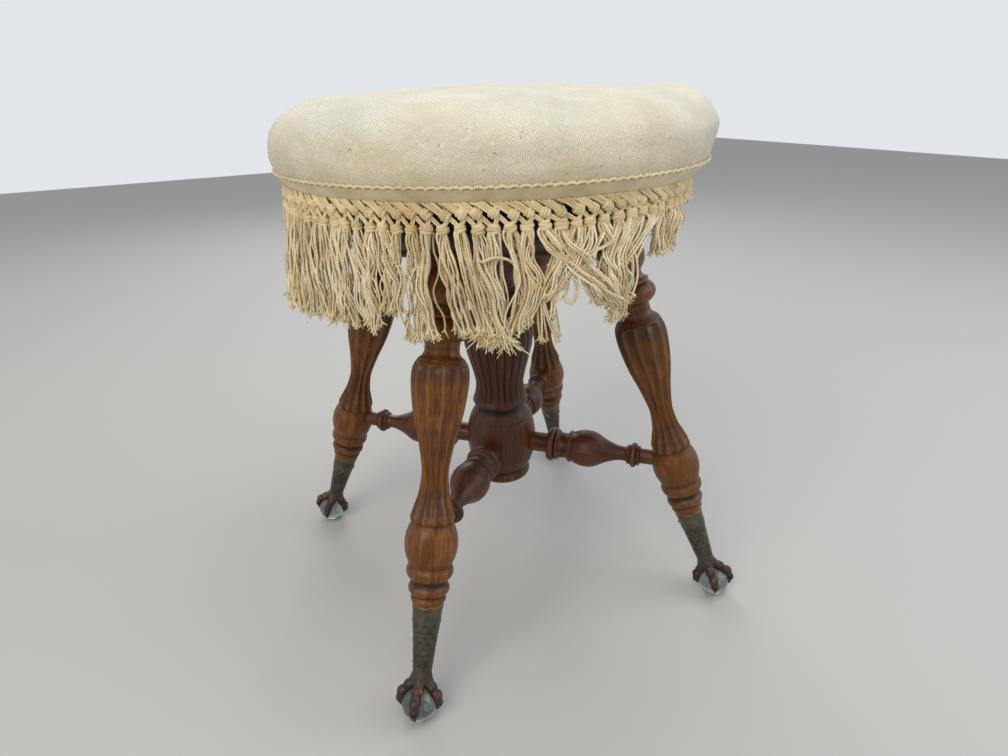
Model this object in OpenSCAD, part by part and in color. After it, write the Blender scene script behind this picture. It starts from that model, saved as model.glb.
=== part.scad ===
// Revolving piano stool: four fluted legs on claw feet with glass balls, a
// turned centre column tied to the legs by stretchers, and a round upholstered
// seat with a knotted fringe that winds up and down on a steel screw.
// Millimetres, +Z up, origin on the floor under the column's axis.

/* [Feet] */
// Diameter of each glass ball
ball_d = 31.75; // [28:0.25:36]
// Distance from the stool's axis to the centre of each ball
foot_circle_r = 243.7; // [230:0.1:260]
// How far a ball stands outside the lower end of its leg
foot_kick = 34.4; // [26:0.1:42]
// Height at which each casting meets its leg
foot_h = 103; // [92:0.5:116]
// Radius of the casting's shank where it meets the leg
foot_top_r = 13.9; // [12.5:0.1:16]
// Thickness of a toe, from the ball outwards
toe_t = 6; // [4.5:0.1:8]
// Width of a toe
toe_w = 8.6; // [6:0.1:11]

/* [Legs] */
// Distance from the stool's axis to a leg's axis at the top block
leg_head_r = 118.5; // [110:0.5:128]
// Rise of a leg from its casting to the top block
leg_rise = 292; // [270:1:320]
// Length of the plain turned part at the foot of a leg
leg_lower_len = 77.5; // [68:0.5:88]
// Radius of the round bulb that takes the stretcher
leg_bulb_r = 23.7; // [20:0.1:27]
// Length of the fluted vase
leg_vase_len = 141.4; // [125:0.1:155]
// Largest radius of the fluted vase
leg_vase_r = 25.3; // [21:0.1:29]
// Number of flutes round a leg
leg_flutes = 12; // [8:1:16]
// Depth of a flute at the vase's widest place
leg_flute_depth = 1.7; // [0.8:0.1:2.5]
// Radius of the big round ring above the vase
leg_ring_r = 25.2; // [21:0.1:29]

/* [Centre column] */
// How far the column hangs below the stretchers' axis
column_drop = 44.5; // [38:0.5:52]
// Height of the plain turned part at the foot of the column
column_lower_len = 91.5; // [84:0.5:100]
// Radius of the barrel that takes the stretchers
column_bulb_r = 38.3; // [34:0.1:42]
// Height of the reeded vase
column_vase_len = 98; // [88:1:108]
// Largest radius of the reeded vase
column_vase_r = 37.3; // [33:0.1:42]
// Number of reeds round the column
column_reeds = 24; // [16:1:30]
// Depth of the valley between two reeds
column_reed_depth = 1.5; // [0.8:0.1:2.2]
// Radius of the ring and the collar above the vase
column_ring_r = 33; // [31:0.1:38]

/* [Stretchers] */
// Radius of a stretcher's bulb
stretcher_bulb_r = 19.9; // [17:0.1:22]
// Radius of the round end that enters the column
stretcher_root_r = 10.5; // [9:0.1:12]
// Radius of the round end that enters the leg
stretcher_tip_r = 7.9; // [6.5:0.1:9]

/* [Top block] */
// Thickness of the disc that joins the legs and the column
block_t = 32; // [28:0.5:40]
// Wood left outside the axes of the legs
block_rim = 24.5; // [20:0.5:32]

/* [Screw] */
// Outer diameter of the screw's thread
screw_d = 25.4; // [22:0.1:28]
// Rise of the seat in one turn
screw_pitch = 5.08; // [4:0.01:6]
// Turns from the lowest to the highest place of the seat
seat_turns = 18; // [12:1:20]

/* [Seat] */
// Radius of the cushion at its widest
seat_r = 200.4; // [185:0.1:215]
// How far the cushion stands out past its board
seat_bulge = 17.4; // [13:0.1:20]
// Thickness of the wooden board
board_t = 19; // [15:0.5:25]
// Height of the cushion's crown above the board
crown_h = 58.5; // [40:0.5:70]
// Thickness of the cover and its lining
cover_t = 1.6; // [1:0.1:2.4]

/* [Fringe] */
// Width of the tape across its slope
tape_w = 14; // [10:0.1:18]
// Thickness of the tape
tape_t = 1.2; // [0.8:0.1:2]
// Number of knotted drops round the seat
fringe_drops = 100; // [80:1:104]
// Length of a tassel below its knot
tassel_len = 81; // [60:1:95]
// Radius of a tassel near its tip
tassel_r = 5; // [3.5:0.1:5.4]

/* [Hidden] */

$fn = 72;
sides = ["front", "right", "back", "left"];
side_az = [225, 315, 45, 135];

// Steps in each arc of a turned outline
arc_steps = 6;
// Overrun of a cut past the face that it opens
over = 2;
// Clearance all round a glued joint, a pin or a seat in wood or iron
fit_clear = 0.1;
// Gap between faces that move past each other
run_clear = 0.3;
// Overlap of two lengths of one turned piece
lap = 1;

// Feet
ball_r = ball_d / 2;
foot_lean = atan2(foot_kick, foot_h - ball_r);
foot_len = norm([foot_kick, foot_h - ball_r]);
foot_collar_h = 5;
foot_collar_proud = 0.5;
// Turn of the toes round the shank, and how far they straighten up by the talons
claw_turn = 10;
toe_upright_share = 0.8;
toe_top_polar = 14;
toe_tip_polar = 106;
toe_fn = 8;
foot_fn = 16;
foot_pin_fn = 30;
foot_steps = 2;
heel_r = 10;
heel_rise = 4.8;
foot_pin_r = 1.2;
foot_pin_head_r = 2.2;
foot_pin_head_h = 1.2;

// Legs
leg_foot_r = foot_circle_r - foot_kick;
leg_splay = atan2(leg_foot_r - leg_head_r, leg_rise);
leg_len = norm([leg_foot_r - leg_head_r, leg_rise]);
leg_upper_len = leg_len - leg_lower_len - leg_vase_len;
leg_bulb_share = 0.77;
leg_foot_tenon_r = 7;
leg_foot_tenon_len = 20;
// The casting's socket is a polygon, so its flats clear the round tenon
foot_socket_r = (leg_foot_tenon_r + fit_clear) / cos(180 / foot_fn);
leg_head_tenon_r = 12;
leg_head_tenon_len = 24;
leg_head_spare = 12;

// Top block and column
block_z = foot_h + leg_rise;
block_top = block_z + block_t;
block_r = leg_head_r + block_rim;
stretcher_z = foot_h + leg_bulb_share * leg_lower_len * cos(leg_splay);
column_z = stretcher_z - column_drop;
column_vase_z = column_z + column_lower_len;
column_upper_z = column_vase_z + column_vase_len;
column_upper_len = block_z - column_upper_z;
column_tenon_r = 28;

// Stretchers, as distances from the column's axis
stretcher_root_depth = 20;
stretcher_tip_depth = 16;
stretcher_x0 = column_bulb_r;
stretcher_axis_end = leg_head_r + (block_z - stretcher_z) * tan(leg_splay);
stretcher_x1 = stretcher_axis_end - leg_bulb_r / cos(leg_splay);
stretcher_span = stretcher_x1 - stretcher_x0;

// Nut plate in the top block
nut_flange_r = 48;
nut_flange_t = 5;
nut_boss_r = 20;
nut_boss_len = 30;
nut_screw_circle_r = 38;
nut_screw_len = 20;
wood_screw_r = 2.4;
wood_screw_head_r = 4.6;
wood_screw_head_h = 2.5;
nut_bottom_z = block_top - nut_boss_len;

// Screw, washer and seat iron, at the seat's lowest place
screw_r = screw_d / 2;
thread_depth_share = 0.58;
screw_root_r = screw_r - thread_depth_share * screw_pitch;
thread_steps = 16;
lift_travel = seat_turns * screw_pitch;
washer_r = 30;
washer_t = 2;
washer_z = block_top + nut_flange_t + run_clear;
hub_z = washer_z + washer_t + run_clear;
hub_drop = 12.4;
hub_r = 24;
hub_top_r = 17;
hub_in_board = 12;
lining_t = 0.6;
arm_t = 4;
arm_w = 24;
arm_reach = 122;
arm_screw_rs = [62, 108];
iron_screw_len = 15;
board_z = hub_z + hub_drop;
board_top = board_z + board_t;
cross_pin_r = 2;
cross_pin_share = 0.35;
stop_washer_r = 15.4;
stop_washer_t = 2.5;
stop_top_z = nut_bottom_z - run_clear - lift_travel;
stop_pin_r = 1.6;
stop_pin_len = 27;
screw_tail = 8;
screw_end_z = stop_top_z - stop_washer_t - screw_tail;
stop_washer_clear = 0.8;
column_bore_r = stop_washer_r + stop_washer_clear;
column_bore_z = screw_end_z - over;

// Cushion, from the turned-under edge to the crown
board_r = seat_r - seat_bulge;
tape_rise = 3;
tape_out = 4.9;
tape_low_z = board_z + tape_rise;
tape_low_r = board_r + tape_out;
tape_slope = 39.5;
tape_top_z = tape_low_z + tape_w * cos(tape_slope);
tape_top_r = tape_low_r + tape_w * sin(tape_slope);
widest_rise = 13;
widest_z = board_top + widest_rise;
under_z = board_z - cover_t;
turn_under_w = 24;
turn_under_r = board_r - turn_under_w;
edge_share = 0.2;
edge_z_share = 0.8;
edge_polar = 76;
edge_steps = 7;
crown_steps = 6;
side_bulge_share = 0.09;
turn_bulge_share = 0.3;
lining_inset = 1;
lining_r = turn_under_r - lining_inset;
tack_count = 40;
tack_inset = 14;
tack_circle_r = board_r - tack_inset;
tack_head_r = 3;
tack_head_t = 1;
tack_shank_r = 0.8;
tack_shank_len = 11;

// Fringe
edging_r = 1.3;
edging_out_share = 1.4;
edging_up_share = 0.5;
drop_gap = 1.2;
drop_r = tape_low_r + tape_t + drop_gap;
drop_top_z = tape_low_z - tape_t;
drop_stem_r = 1.4;
link_r = 1.7;
stem_seat_share = 0.9;
knot_r = 3.5;
second_knot_r = 4.2;
first_knot_drop = 6.2;
second_knot_drop = 17;
tassel_top_z = drop_top_z - second_knot_drop - second_knot_r;

// Points of a circular arc from p0 to p1, without p0. The bulge is the arc's
// rise over half its chord: 0 is straight, 1 a half circle, minus is hollow.
function arc_to(p0, p1, bulge, steps = arc_steps) =
    bulge == 0 ? [p1] :
    let (
        c = p1 - p0,
        d = norm(c),
        u = c / d,
        out = [u[1], -u[0]] * sign(bulge),
        sweep = 4 * atan(abs(bulge)),
        rad = d / 2 / sin(sweep / 2),
        centre = (p0 + p1) / 2 - out * rad * cos(sweep / 2)
    )
    [for (k = [1:steps])
        let (a = -sweep / 2 + sweep * k / steps)
        centre + rad * (out * cos(a) + u * sin(a))];

// Outline of a turned length. Each row of shares is [way along, radius, bulge
// of the arc that arrives there].
function turned_pts(shares, len, rad, steps = arc_steps) =
    let (pts = [for (row = shares) [row[1] * rad, row[0] * len]])
    concat([pts[0]], [for (k = [1:len(pts) - 1]) each arc_to(pts[k - 1], pts[k], shares[k][2], steps)]);

module turned(shares, len, rad, steps = arc_steps) {
    pts = turned_pts(shares, len, rad, steps);
    rotate_extrude()
        polygon(concat([[0, pts[0][1]]], pts, [[0, pts[len(pts) - 1][1]]]));
}

// Outline moved inwards by t, square to itself
function inset_pts(pts, t) =
    [for (k = [0:len(pts) - 1])
        let (
            a = pts[max(k - 1, 0)],
            b = pts[min(k + 1, len(pts) - 1)],
            u = (b - a) / norm(b - a)
        )
        pts[k] - t * [u[1], -u[0]]];

// Side faces between rings of n points, with a flat cap at each end
function skin_faces(rings, n) = concat(
    [for (k = [0:rings - 2]) for (j = [0:n - 1])
        let (a = k * n + j, b = k * n + (j + 1) % n)
        each [[a, a + n, b + n], [a, b + n, b]]],
    [[for (j = [0:n - 1]) j]],
    [[for (j = [n - 1:-1:0]) (rings - 1) * n + j]]);

// A vase with flutes or reeds. Each row of shares is [way up, radius, depth].
// cuts holds the depth at each step across one flute, as shares.
module carved_vase(shares, len, rad, copies, depth, cuts) {
    n = copies * len(cuts);
    pts = [for (row = shares) for (j = [0:n - 1])
        let (
            a = 360 * j / n,
            r = row[1] * rad - depth * row[1] * row[2] * cuts[j % len(cuts)]
        )
        [r * cos(a), r * sin(a), row[0] * len]];
    polyhedron(pts, skin_faces(len(shares), n));
}

module at_side(i) {
    rotate([0, 0, side_az[i]]) children();
}

// Frame of a leg: origin where it meets the casting, +Z up along its axis
module leg_frame() {
    translate([leg_foot_r, 0, foot_h]) rotate([0, -leg_splay, 0]) children();
}

// Frame of a casting: origin at the ball's centre, +Z up along the shank
module foot_frame() {
    translate([foot_circle_r, 0, ball_r]) rotate([0, -foot_lean, 0]) children();
}

// Legs

leg_lower_shares = [
    [0, 0.59, 0], [0.027, 0.59, 0], [0.1, 0.62, 0.5], [0.135, 0.68, -0.3],
    [0.245, 0.7, 0.5], [0.312, 0.72, -0.45], [0.405, 0.886, 0.3], [0.426, 0.886, 0],
    [0.495, 0.823, -0.12], [0.975, 0.78, 0.26], [1, 0.74, 0]
];
leg_vase_shares = [
    [0, 0.77, 0.6], [0.024, 0.785, 0.8], [0.096, 0.672, 1], [0.17, 0.545, 1],
    [0.289, 0.47, 1], [0.378, 0.518, 1], [0.511, 0.66, 1], [0.644, 0.842, 1],
    [0.763, 0.949, 1], [0.852, 1, 1], [0.93, 0.975, 0.8], [0.97, 0.925, 0.35],
    [0.985, 0.86, 0], [1, 0.82, 0]
];
leg_upper_shares = [
    [0, 0.8, 0], [0.04, 0.77, 0.5], [0.12, 0.61, -0.3], [0.19, 0.66, -0.2],
    [0.41, 0.72, 0.78], [0.42, 0.79, 0], [0.45, 0.79, 0.5], [0.53, 0.61, -0.35],
    [0.56, 0.66, 0], [0.89, 0.66, 0.44], [0.91, 0.635, 0], [0.95, 0.635, 0], [1, 0.7, -0.2]
];
// Scooped across one flute: sharp ridge, side, floor, side
flute_cuts_share = [0, 0.75, 1, 0.75];

module leg_body() {
    color("#7a4a22") {
        turned(leg_lower_shares, leg_lower_len, leg_bulb_r);
        translate([0, 0, leg_lower_len])
            carved_vase(leg_vase_shares, leg_vase_len, leg_vase_r, leg_flutes,
                leg_flute_depth, flute_cuts_share);
        translate([0, 0, leg_lower_len + leg_vase_len]) {
            turned(leg_upper_shares, leg_upper_len, leg_ring_r);
            translate([0, 0, leg_upper_len])
                cylinder(h = leg_head_spare, r = leg_ring_r * leg_upper_shares[12][1]);
        }
    }
}

module leg(i) {
    at_side(i) {
        difference() {
            leg_frame() leg_body();
            // Shoulder cut level under the top block
            translate([0, -leg_len / 2, block_z]) cube([leg_len, leg_len, block_t]);
            // Hole for the stretcher
            translate([stretcher_x0, 0, stretcher_z]) rotate([0, 90, 0])
                cylinder(h = stretcher_span + stretcher_tip_depth + fit_clear,
                    r = stretcher_tip_r + fit_clear);
        }
        color("#7a4a22") difference() {
            leg_frame() translate([0, 0, -leg_foot_tenon_len])
                cylinder(h = leg_foot_tenon_len, r = leg_foot_tenon_r);
            foot_pin_hole();
        }
        color("#7a4a22") intersection() {
            leg_frame() translate([0, 0, leg_len - leg_head_spare])
                cylinder(h = leg_head_spare + leg_head_tenon_len, r = leg_head_tenon_r);
            translate([0, -leg_len / 2, block_z - fit_clear])
                cube([leg_len, leg_len, leg_head_tenon_len]);
        }
    }
}

// Claw feet

foot_shank_shares = [
    [0.2, 0.6, 0], [0.26, 0.7, 0.2], [0.334, 0.633, -0.12], [0.62, 0.76, -0.05],
    [0.86, 0.93, -0.03], [1.06, 1, 0]
];
// Rounds down a toe: [way from the claw's top to the talon's tip, half width,
// how far it stands off the ball], so that the knuckles swell
toe_shares = [
    [0, 0.95, 0.95], [0.15, 1.05, 1.12], [0.3, 0.85, 0.85], [0.44, 0.98, 1],
    [0.6, 0.8, 0.75], [0.73, 0.86, 0.82], [1, 0.42, 0.42]
];

// One toe over the ball, turned by a round the shank. The claw leans with its
// shank at the top and straightens towards the talons
module toe(a) {
    module round_at(k) {
        way = toe_shares[k][0];
        r = toe_shares[k][1] * toe_w / 2;
        rotate([0, -foot_lean * (1 - toe_upright_share * way), 0]) rotate([0, 0, a])
            rotate([0, toe_top_polar + way * (toe_tip_polar - toe_top_polar), 0])
            translate([0, 0, ball_r + toe_shares[k][2] * toe_t - r]) sphere(r = r, $fn = toe_fn);
    }
    for (k = [0:len(toe_shares) - 2]) hull() {
        round_at(k);
        round_at(k + 1);
    }
}

// The pin goes in from the stool's inner side, square to the shank
foot_pin_z = foot_shank_shares[4][0] * foot_len;
foot_pin_seat_r = foot_shank_shares[4][1] * foot_top_r + fit_clear;

module foot_pin_hole() {
    foot_frame() translate([0, 0, foot_pin_z]) rotate([0, -90, 0])
        cylinder(h = foot_top_r * 2, r = foot_pin_r + fit_clear, $fn = foot_pin_fn);
}

module claw_foot(i) {
    color("#4e4438") at_side(i) difference() {
        union() {
            difference() {
                foot_frame() turned(foot_shank_shares, foot_len, foot_top_r, foot_steps, $fn = foot_fn);
                leg_frame() translate([-foot_len / 2, -foot_len / 2, 0])
                    cube([foot_len, foot_len, foot_len / 2]);
            }
            leg_frame() translate([0, 0, -foot_collar_h])
                cylinder(h = foot_collar_h, r = foot_top_r + foot_collar_proud, $fn = foot_fn);
            foot_frame() translate([0, 0, ball_r + toe_t + heel_rise]) sphere(r = heel_r, $fn = foot_fn);
            translate([foot_circle_r, 0, ball_r])
                for (a = [0:90:270]) toe(claw_turn + a);
        }
        translate([foot_circle_r, 0, ball_r]) sphere(r = ball_r + run_clear, $fn = 2 * foot_fn);
        leg_frame() translate([0, 0, -leg_foot_tenon_len - fit_clear])
            cylinder(h = leg_foot_tenon_len + fit_clear + over, r = foot_socket_r, $fn = foot_fn);
        foot_pin_hole();
    }
}

module glass_ball(i) {
    color("#dfe6e4", 0.5) at_side(i) translate([foot_circle_r, 0, ball_r]) sphere(r = ball_r);
}

module foot_pins() {
    color("#5c5346") for (i = [0:3]) at_side(i) foot_frame()
        translate([0, 0, foot_pin_z]) rotate([0, -90, 0]) {
            cylinder(h = foot_pin_seat_r + foot_pin_head_h, r = foot_pin_r);
            translate([0, 0, foot_pin_seat_r]) cylinder(h = foot_pin_head_h, r = foot_pin_head_r);
        }
}

// Centre column

column_lower_shares = [
    [0, 0.7, 0], [0.115, 0.745, 0.6], [0.135, 0.745, 0], [0.14, 0.77, 0],
    [0.53, 1, 0.125], [0.803, 0.888, 0.08], [0.812, 0.86, 0], [0.822, 0.868, 0],
    [0.965, 0.64, 0.1], [0.985, 0.64, 0], [1, 0.7, -0.2]
];
column_vase_shares = [
    [0, 0.78, 0.5], [0.03, 0.805, 0.8], [0.08, 0.75, 1], [0.214, 0.697, 1],
    [0.337, 0.743, 1], [0.49, 0.845, 1], [0.643, 0.946, 1], [0.765, 0.997, 1],
    [0.847, 1, 1], [0.93, 0.938, 0.7], [1, 0.804, 0]
];
column_upper_shares = [
    [0, 0.9, 0], [0.06, 0.86, 0.4], [0.13, 0.66, -0.3], [0.17, 0.72, 0],
    [0.32, 0.72, 0.7], [0.36, 0.64, 0], [0.43, 0.62, -0.3], [0.47, 0.68, 0],
    [0.83, 0.7, 0.3], [0.86, 0.66, 0], [0.93, 0.72, -0.3], [0.94, 0.86, 0], [1, 0.9, 0.3]
];
// Rounded across one reed: valley, then two points on the round
reed_cuts_share = [1, 0.1, 0.1];

module column_bore() {
    translate([0, 0, column_bore_z]) cylinder(h = block_top - column_bore_z + over, r = column_bore_r);
}

module center_column() {
    color("#5b3322") {
        difference() {
            translate([0, 0, column_z]) turned(column_lower_shares, column_lower_len, column_bulb_r);
            for (i = [0:3]) at_side(i)
                translate([stretcher_x0 - stretcher_root_depth - fit_clear, 0, stretcher_z])
                    rotate([0, 90, 0])
                        cylinder(h = stretcher_root_depth * 2, r = stretcher_root_r + fit_clear);
        }
        difference() {
            translate([0, 0, column_vase_z])
                carved_vase(column_vase_shares, column_vase_len, column_vase_r, column_reeds,
                    column_reed_depth, reed_cuts_share);
            column_bore();
        }
        difference() {
            union() {
                translate([0, 0, column_upper_z])
                    turned(column_upper_shares, column_upper_len, column_ring_r);
                translate([0, 0, block_z]) cylinder(h = block_t, r = column_tenon_r);
            }
            column_bore();
            translate([0, 0, nut_bottom_z - fit_clear])
                cylinder(h = nut_boss_len + over, r = nut_boss_r + fit_clear);
        }
    }
}

// Stretchers, along the column-to-leg line; radii are shares of the bulb

stretcher_shares = [
    [0.126, 0.53, 0], [0.131, 0.724, 0], [0.2, 0.724, 1], [0.206, 0.8, 0], [0.226, 0.8, 0.8],
    [0.232, 0.75, 0], [0.312, 0.73, -0.22], [0.318, 0.854, 0], [0.338, 0.854, 0.3],
    [0.346, 0.8, 0], [0.485, 1, 0.16], [0.58, 0.8, 0.12], [0.68, 0.5, -0.06],
    [0.76, 0.38, -0.08], [0.8, 0.4, -0.1], [0.812, 0.5, 0], [0.832, 0.5, 0.5],
    [0.838, 0.56, 0], [0.884, 0.56, 0.75], [0.89, 0.5, 0], [0.91, 0.5, 0.5], [0.916, 0.4, 0]
];

module stretcher(i) {
    color("#5b3322") at_side(i) translate([stretcher_x0, 0, stretcher_z]) rotate([0, 90, 0]) {
        turned(stretcher_shares, stretcher_span, stretcher_bulb_r);
        translate([0, 0, -stretcher_root_depth])
            cylinder(h = stretcher_root_depth + stretcher_span * stretcher_shares[0][0] + lap,
                r = stretcher_root_r);
        translate([0, 0, stretcher_span * stretcher_shares[21][0] - lap])
            cylinder(h = stretcher_span * (1 - stretcher_shares[21][0]) + lap + stretcher_tip_depth,
                r = stretcher_tip_r);
    }
}

// Top block

block_edge_shares = [
    [0, 0.94, 0], [0.1, 0.96, 0.3], [0.2, 0.96, 0], [0.3, 0.985, 0],
    [0.85, 1, 0.4], [0.9, 0.985, 0], [1, 0.97, 0.3]
];

module top_block() {
    color("#4a2a1c") difference() {
        translate([0, 0, block_z]) turned(block_edge_shares, block_t, block_r);
        translate([0, 0, block_z - over]) cylinder(h = block_t + 2 * over, r = column_tenon_r + fit_clear);
        for (i = [0:3]) at_side(i) intersection() {
            leg_frame() translate([0, 0, leg_len - leg_head_spare])
                cylinder(h = leg_head_spare + leg_head_tenon_len + over, r = leg_head_tenon_r + fit_clear);
            translate([0, -leg_len / 2, block_z - over])
                cube([leg_len, leg_len, leg_head_tenon_len + over]);
        }
        at_nut_screws() translate([0, 0, -nut_screw_len - fit_clear])
            cylinder(h = nut_screw_len + fit_clear + over, r = wood_screw_r + fit_clear);
    }
}

// Nut plate, let into the column's head, with its screws

module at_nut_screws() {
    for (a = [0:90:270]) rotate([0, 0, a]) translate([nut_screw_circle_r, 0, block_top]) children();
}

module nut_plate() {
    color("#3c3a38") difference() {
        union() {
            translate([0, 0, block_top]) cylinder(h = nut_flange_t, r = nut_flange_r);
            translate([0, 0, nut_bottom_z]) cylinder(h = nut_boss_len + fit_clear, r = nut_boss_r);
        }
        translate([0, 0, nut_bottom_z - over])
            cylinder(h = nut_boss_len + nut_flange_t + 2 * over, r = screw_r + run_clear);
        at_nut_screws() translate([0, 0, -over])
            cylinder(h = nut_flange_t + 2 * over, r = wood_screw_r + fit_clear);
    }
}

module wood_screw(grip, depth) {
    translate([0, 0, -depth]) cylinder(h = depth + grip, r = wood_screw_r);
    translate([0, 0, grip]) intersection() {
        cylinder(h = wood_screw_head_h, r = wood_screw_head_r);
        translate([0, 0, wood_screw_head_h - wood_screw_head_r]) sphere(r = wood_screw_head_r);
    }
}

module nut_plate_screws() {
    color("#6d6a66") at_nut_screws() wood_screw(nut_flange_t, nut_screw_len);
}

// Screw with its washer, pins and stop

module screw_washer() {
    color("#6b4a2e") translate([0, 0, washer_z]) difference() {
        cylinder(h = washer_t, r = washer_r);
        translate([0, 0, -over]) cylinder(h = washer_t + 2 * over, r = screw_r + run_clear);
    }
}

// A right-hand V thread between two flat rings. Points run root helix, crest
// helix, lower ring, upper ring.
module thread(len) {
    n = thread_steps;
    turns = floor((len - screw_pitch / 2) / screw_pitch) - 1;
    crests = turns * n;
    roots = crests + n;
    start = (len - (turns + 1) * screw_pitch) / 2;
    function at(i, r, z) = [r * cos(360 * i / n), r * sin(360 * i / n), z];
    root_pts = [for (i = [0:roots]) at(i, screw_root_r, start + i * screw_pitch / n)];
    crest_pts = [for (i = [0:crests]) at(i, screw_r, start + (i + n / 2) * screw_pitch / n)];
    ring_pts = [for (z = [0, len]) for (i = [0:n - 1]) at(i, screw_root_r, z)];
    c = roots + 1;
    low = c + crests + 1;
    high = low + n;
    polyhedron(
        concat(root_pts, crest_pts, ring_pts),
        concat(
            [for (i = [0:crests - 1]) each [
                [i, c + i, c + i + 1], [i, c + i + 1, i + 1],
                [c + i, i + n, i + n + 1], [c + i, i + n + 1, c + i + 1]]],
            [for (j = [0:n - 2]) each [
                [low + j, j, j + 1], [low + j, j + 1, low + j + 1]]],
            [[low + n - 1, n - 1, n], [low + n - 1, n, 0], [low + n - 1, 0, low]],
            [[n, c, 0], [crests, c + crests, roots]],
            [[crests, roots, crests + 1], [roots, high, high + 1], [roots, high + 1, crests + 1]],
            [for (j = [1:n - 1]) each [
                [crests + j, high + j, high + (j + 1) % n],
                [crests + j, high + (j + 1) % n, crests + j + 1]]],
            [[for (j = [0:n - 1]) low + j]],
            [[for (j = [n - 1:-1:0]) high + j]]
        ));
}

module seat_screw() {
    tail = stop_washer_t + screw_tail;
    color("#8d8a86") difference() {
        union() {
            translate([0, 0, stop_top_z]) thread(hub_z - stop_top_z);
            translate([0, 0, hub_z]) cylinder(h = hub_drop + hub_in_board, r = screw_root_r);
            translate([0, 0, stop_top_z - tail]) cylinder(h = tail, r = screw_root_r);
        }
        cross_pin_hole();
        stop_pin_hole();
    }
}

module cross_pin_hole() {
    translate([-hub_r - over, 0, hub_z + cross_pin_share * hub_drop])
        rotate([0, 90, 0]) cylinder(h = 2 * (hub_r + over), r = cross_pin_r + fit_clear);
}

module screw_cross_pin() {
    color("#77736e") translate([-hub_r, 0, hub_z + cross_pin_share * hub_drop])
        rotate([0, 90, 0]) cylinder(h = 2 * hub_r, r = cross_pin_r);
}

module stop_washer() {
    color("#77736e") translate([0, 0, stop_top_z - stop_washer_t]) difference() {
        cylinder(h = stop_washer_t, r = stop_washer_r);
        translate([0, 0, -over]) cylinder(h = stop_washer_t + 2 * over, r = screw_root_r + fit_clear);
    }
}

stop_pin_z = stop_top_z - stop_washer_t - fit_clear - stop_pin_r;

module stop_pin_hole() {
    translate([-stop_pin_len, 0, stop_pin_z]) rotate([0, 90, 0])
        cylinder(h = 2 * stop_pin_len, r = stop_pin_r + fit_clear);
}

module stop_pin() {
    color("#77736e") translate([-stop_pin_len / 2, 0, stop_pin_z]) rotate([0, 90, 0])
        cylinder(h = stop_pin_len, r = stop_pin_r);
}

// Seat iron: a hub with four arms, screwed up into the board

module at_iron_screws() {
    for (a = [0:90:270]) for (r = arm_screw_rs)
        rotate([0, 0, a]) translate([r, 0, board_z - lining_t - arm_t]) children();
}

module seat_iron() {
    color("#3c3a38") difference() {
        union() {
            translate([0, 0, hub_z]) cylinder(h = hub_drop - lining_t, r = hub_r);
            translate([0, 0, hub_z]) cylinder(h = hub_drop + hub_in_board, r = hub_top_r);
            for (a = [0:90:270]) rotate([0, 0, a]) {
                translate([0, -arm_w / 2, board_z - lining_t - arm_t])
                    cube([arm_reach - arm_w / 2, arm_w, arm_t]);
                translate([arm_reach - arm_w / 2, 0, board_z - lining_t - arm_t])
                    cylinder(h = arm_t, r = arm_w / 2);
            }
        }
        translate([0, 0, hub_z - over])
            cylinder(h = hub_drop + hub_in_board + 2 * over, r = screw_root_r + fit_clear);
        cross_pin_hole();
        at_iron_screws() translate([0, 0, -over])
            cylinder(h = arm_t + 2 * over, r = wood_screw_r + fit_clear);
    }
}

module seat_iron_screws() {
    color("#6d6a66") at_iron_screws() translate([0, 0, arm_t]) mirror([0, 0, 1])
        wood_screw(arm_t, iron_screw_len);
}

module seat_board() {
    color("#b08a5a") difference() {
        translate([0, 0, board_z]) cylinder(h = board_t, r = board_r);
        translate([0, 0, board_z - over])
            cylinder(h = hub_in_board + fit_clear + over, r = hub_top_r + fit_clear);
        at_iron_screws() cylinder(h = arm_t + iron_screw_len + fit_clear, r = wood_screw_r + fit_clear);
    }
}

module bottom_lining() {
    color("#2a2826") difference() {
        translate([0, 0, board_z - lining_t]) cylinder(h = lining_t, r = lining_r);
        translate([0, 0, board_z - over]) cylinder(h = 2 * over, r = hub_top_r + fit_clear);
        at_iron_screws() cylinder(h = 2 * arm_t, r = wood_screw_r + fit_clear);
    }
}

// Cushion: the cover's outer face from the tape's lower edge to the crown

edge_w = edge_share * seat_r;
edge_h = edge_z_share * (board_top + crown_h - widest_z);
edge_top_r = seat_r - edge_w + edge_w * cos(edge_polar);
edge_top_z = widest_z + edge_h * sin(edge_polar);
crown_z = board_top + crown_h;

cover_side_pts = concat(
    [[tape_low_r, tape_low_z]],
    [[tape_top_r, tape_top_z]],
    arc_to([tape_top_r, tape_top_z], [seat_r, widest_z], side_bulge_share),
    [for (k = [1:edge_steps])
        let (a = edge_polar * k / edge_steps)
        [seat_r - edge_w + edge_w * cos(a), widest_z + edge_h * sin(a)]],
    [for (k = [1:crown_steps])
        let (r = edge_top_r * (1 - k / crown_steps))
        [r, crown_z - (crown_z - edge_top_z) * pow(r / edge_top_r, 2)]]);
cover_outer_pts = concat(
    [[turn_under_r, under_z], [board_r, under_z]],
    arc_to([board_r, under_z], [tape_low_r, tape_low_z], turn_bulge_share),
    [for (k = [1:len(cover_side_pts) - 1]) cover_side_pts[k]]);
cover_inner_pts = concat(
    [[turn_under_r, board_z], [board_r, board_z]],
    [for (p = inset_pts(cover_outer_pts, cover_t)) if (p[1] > board_z + cover_t && p[0] > fit_clear) p],
    [[0, crown_z - cover_t]]);

module cushion_cover() {
    color("#e3ddc9") rotate_extrude() polygon(concat(
        cover_outer_pts,
        [for (k = [len(cover_inner_pts) - 1:-1:0]) cover_inner_pts[k]]));
}

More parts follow.
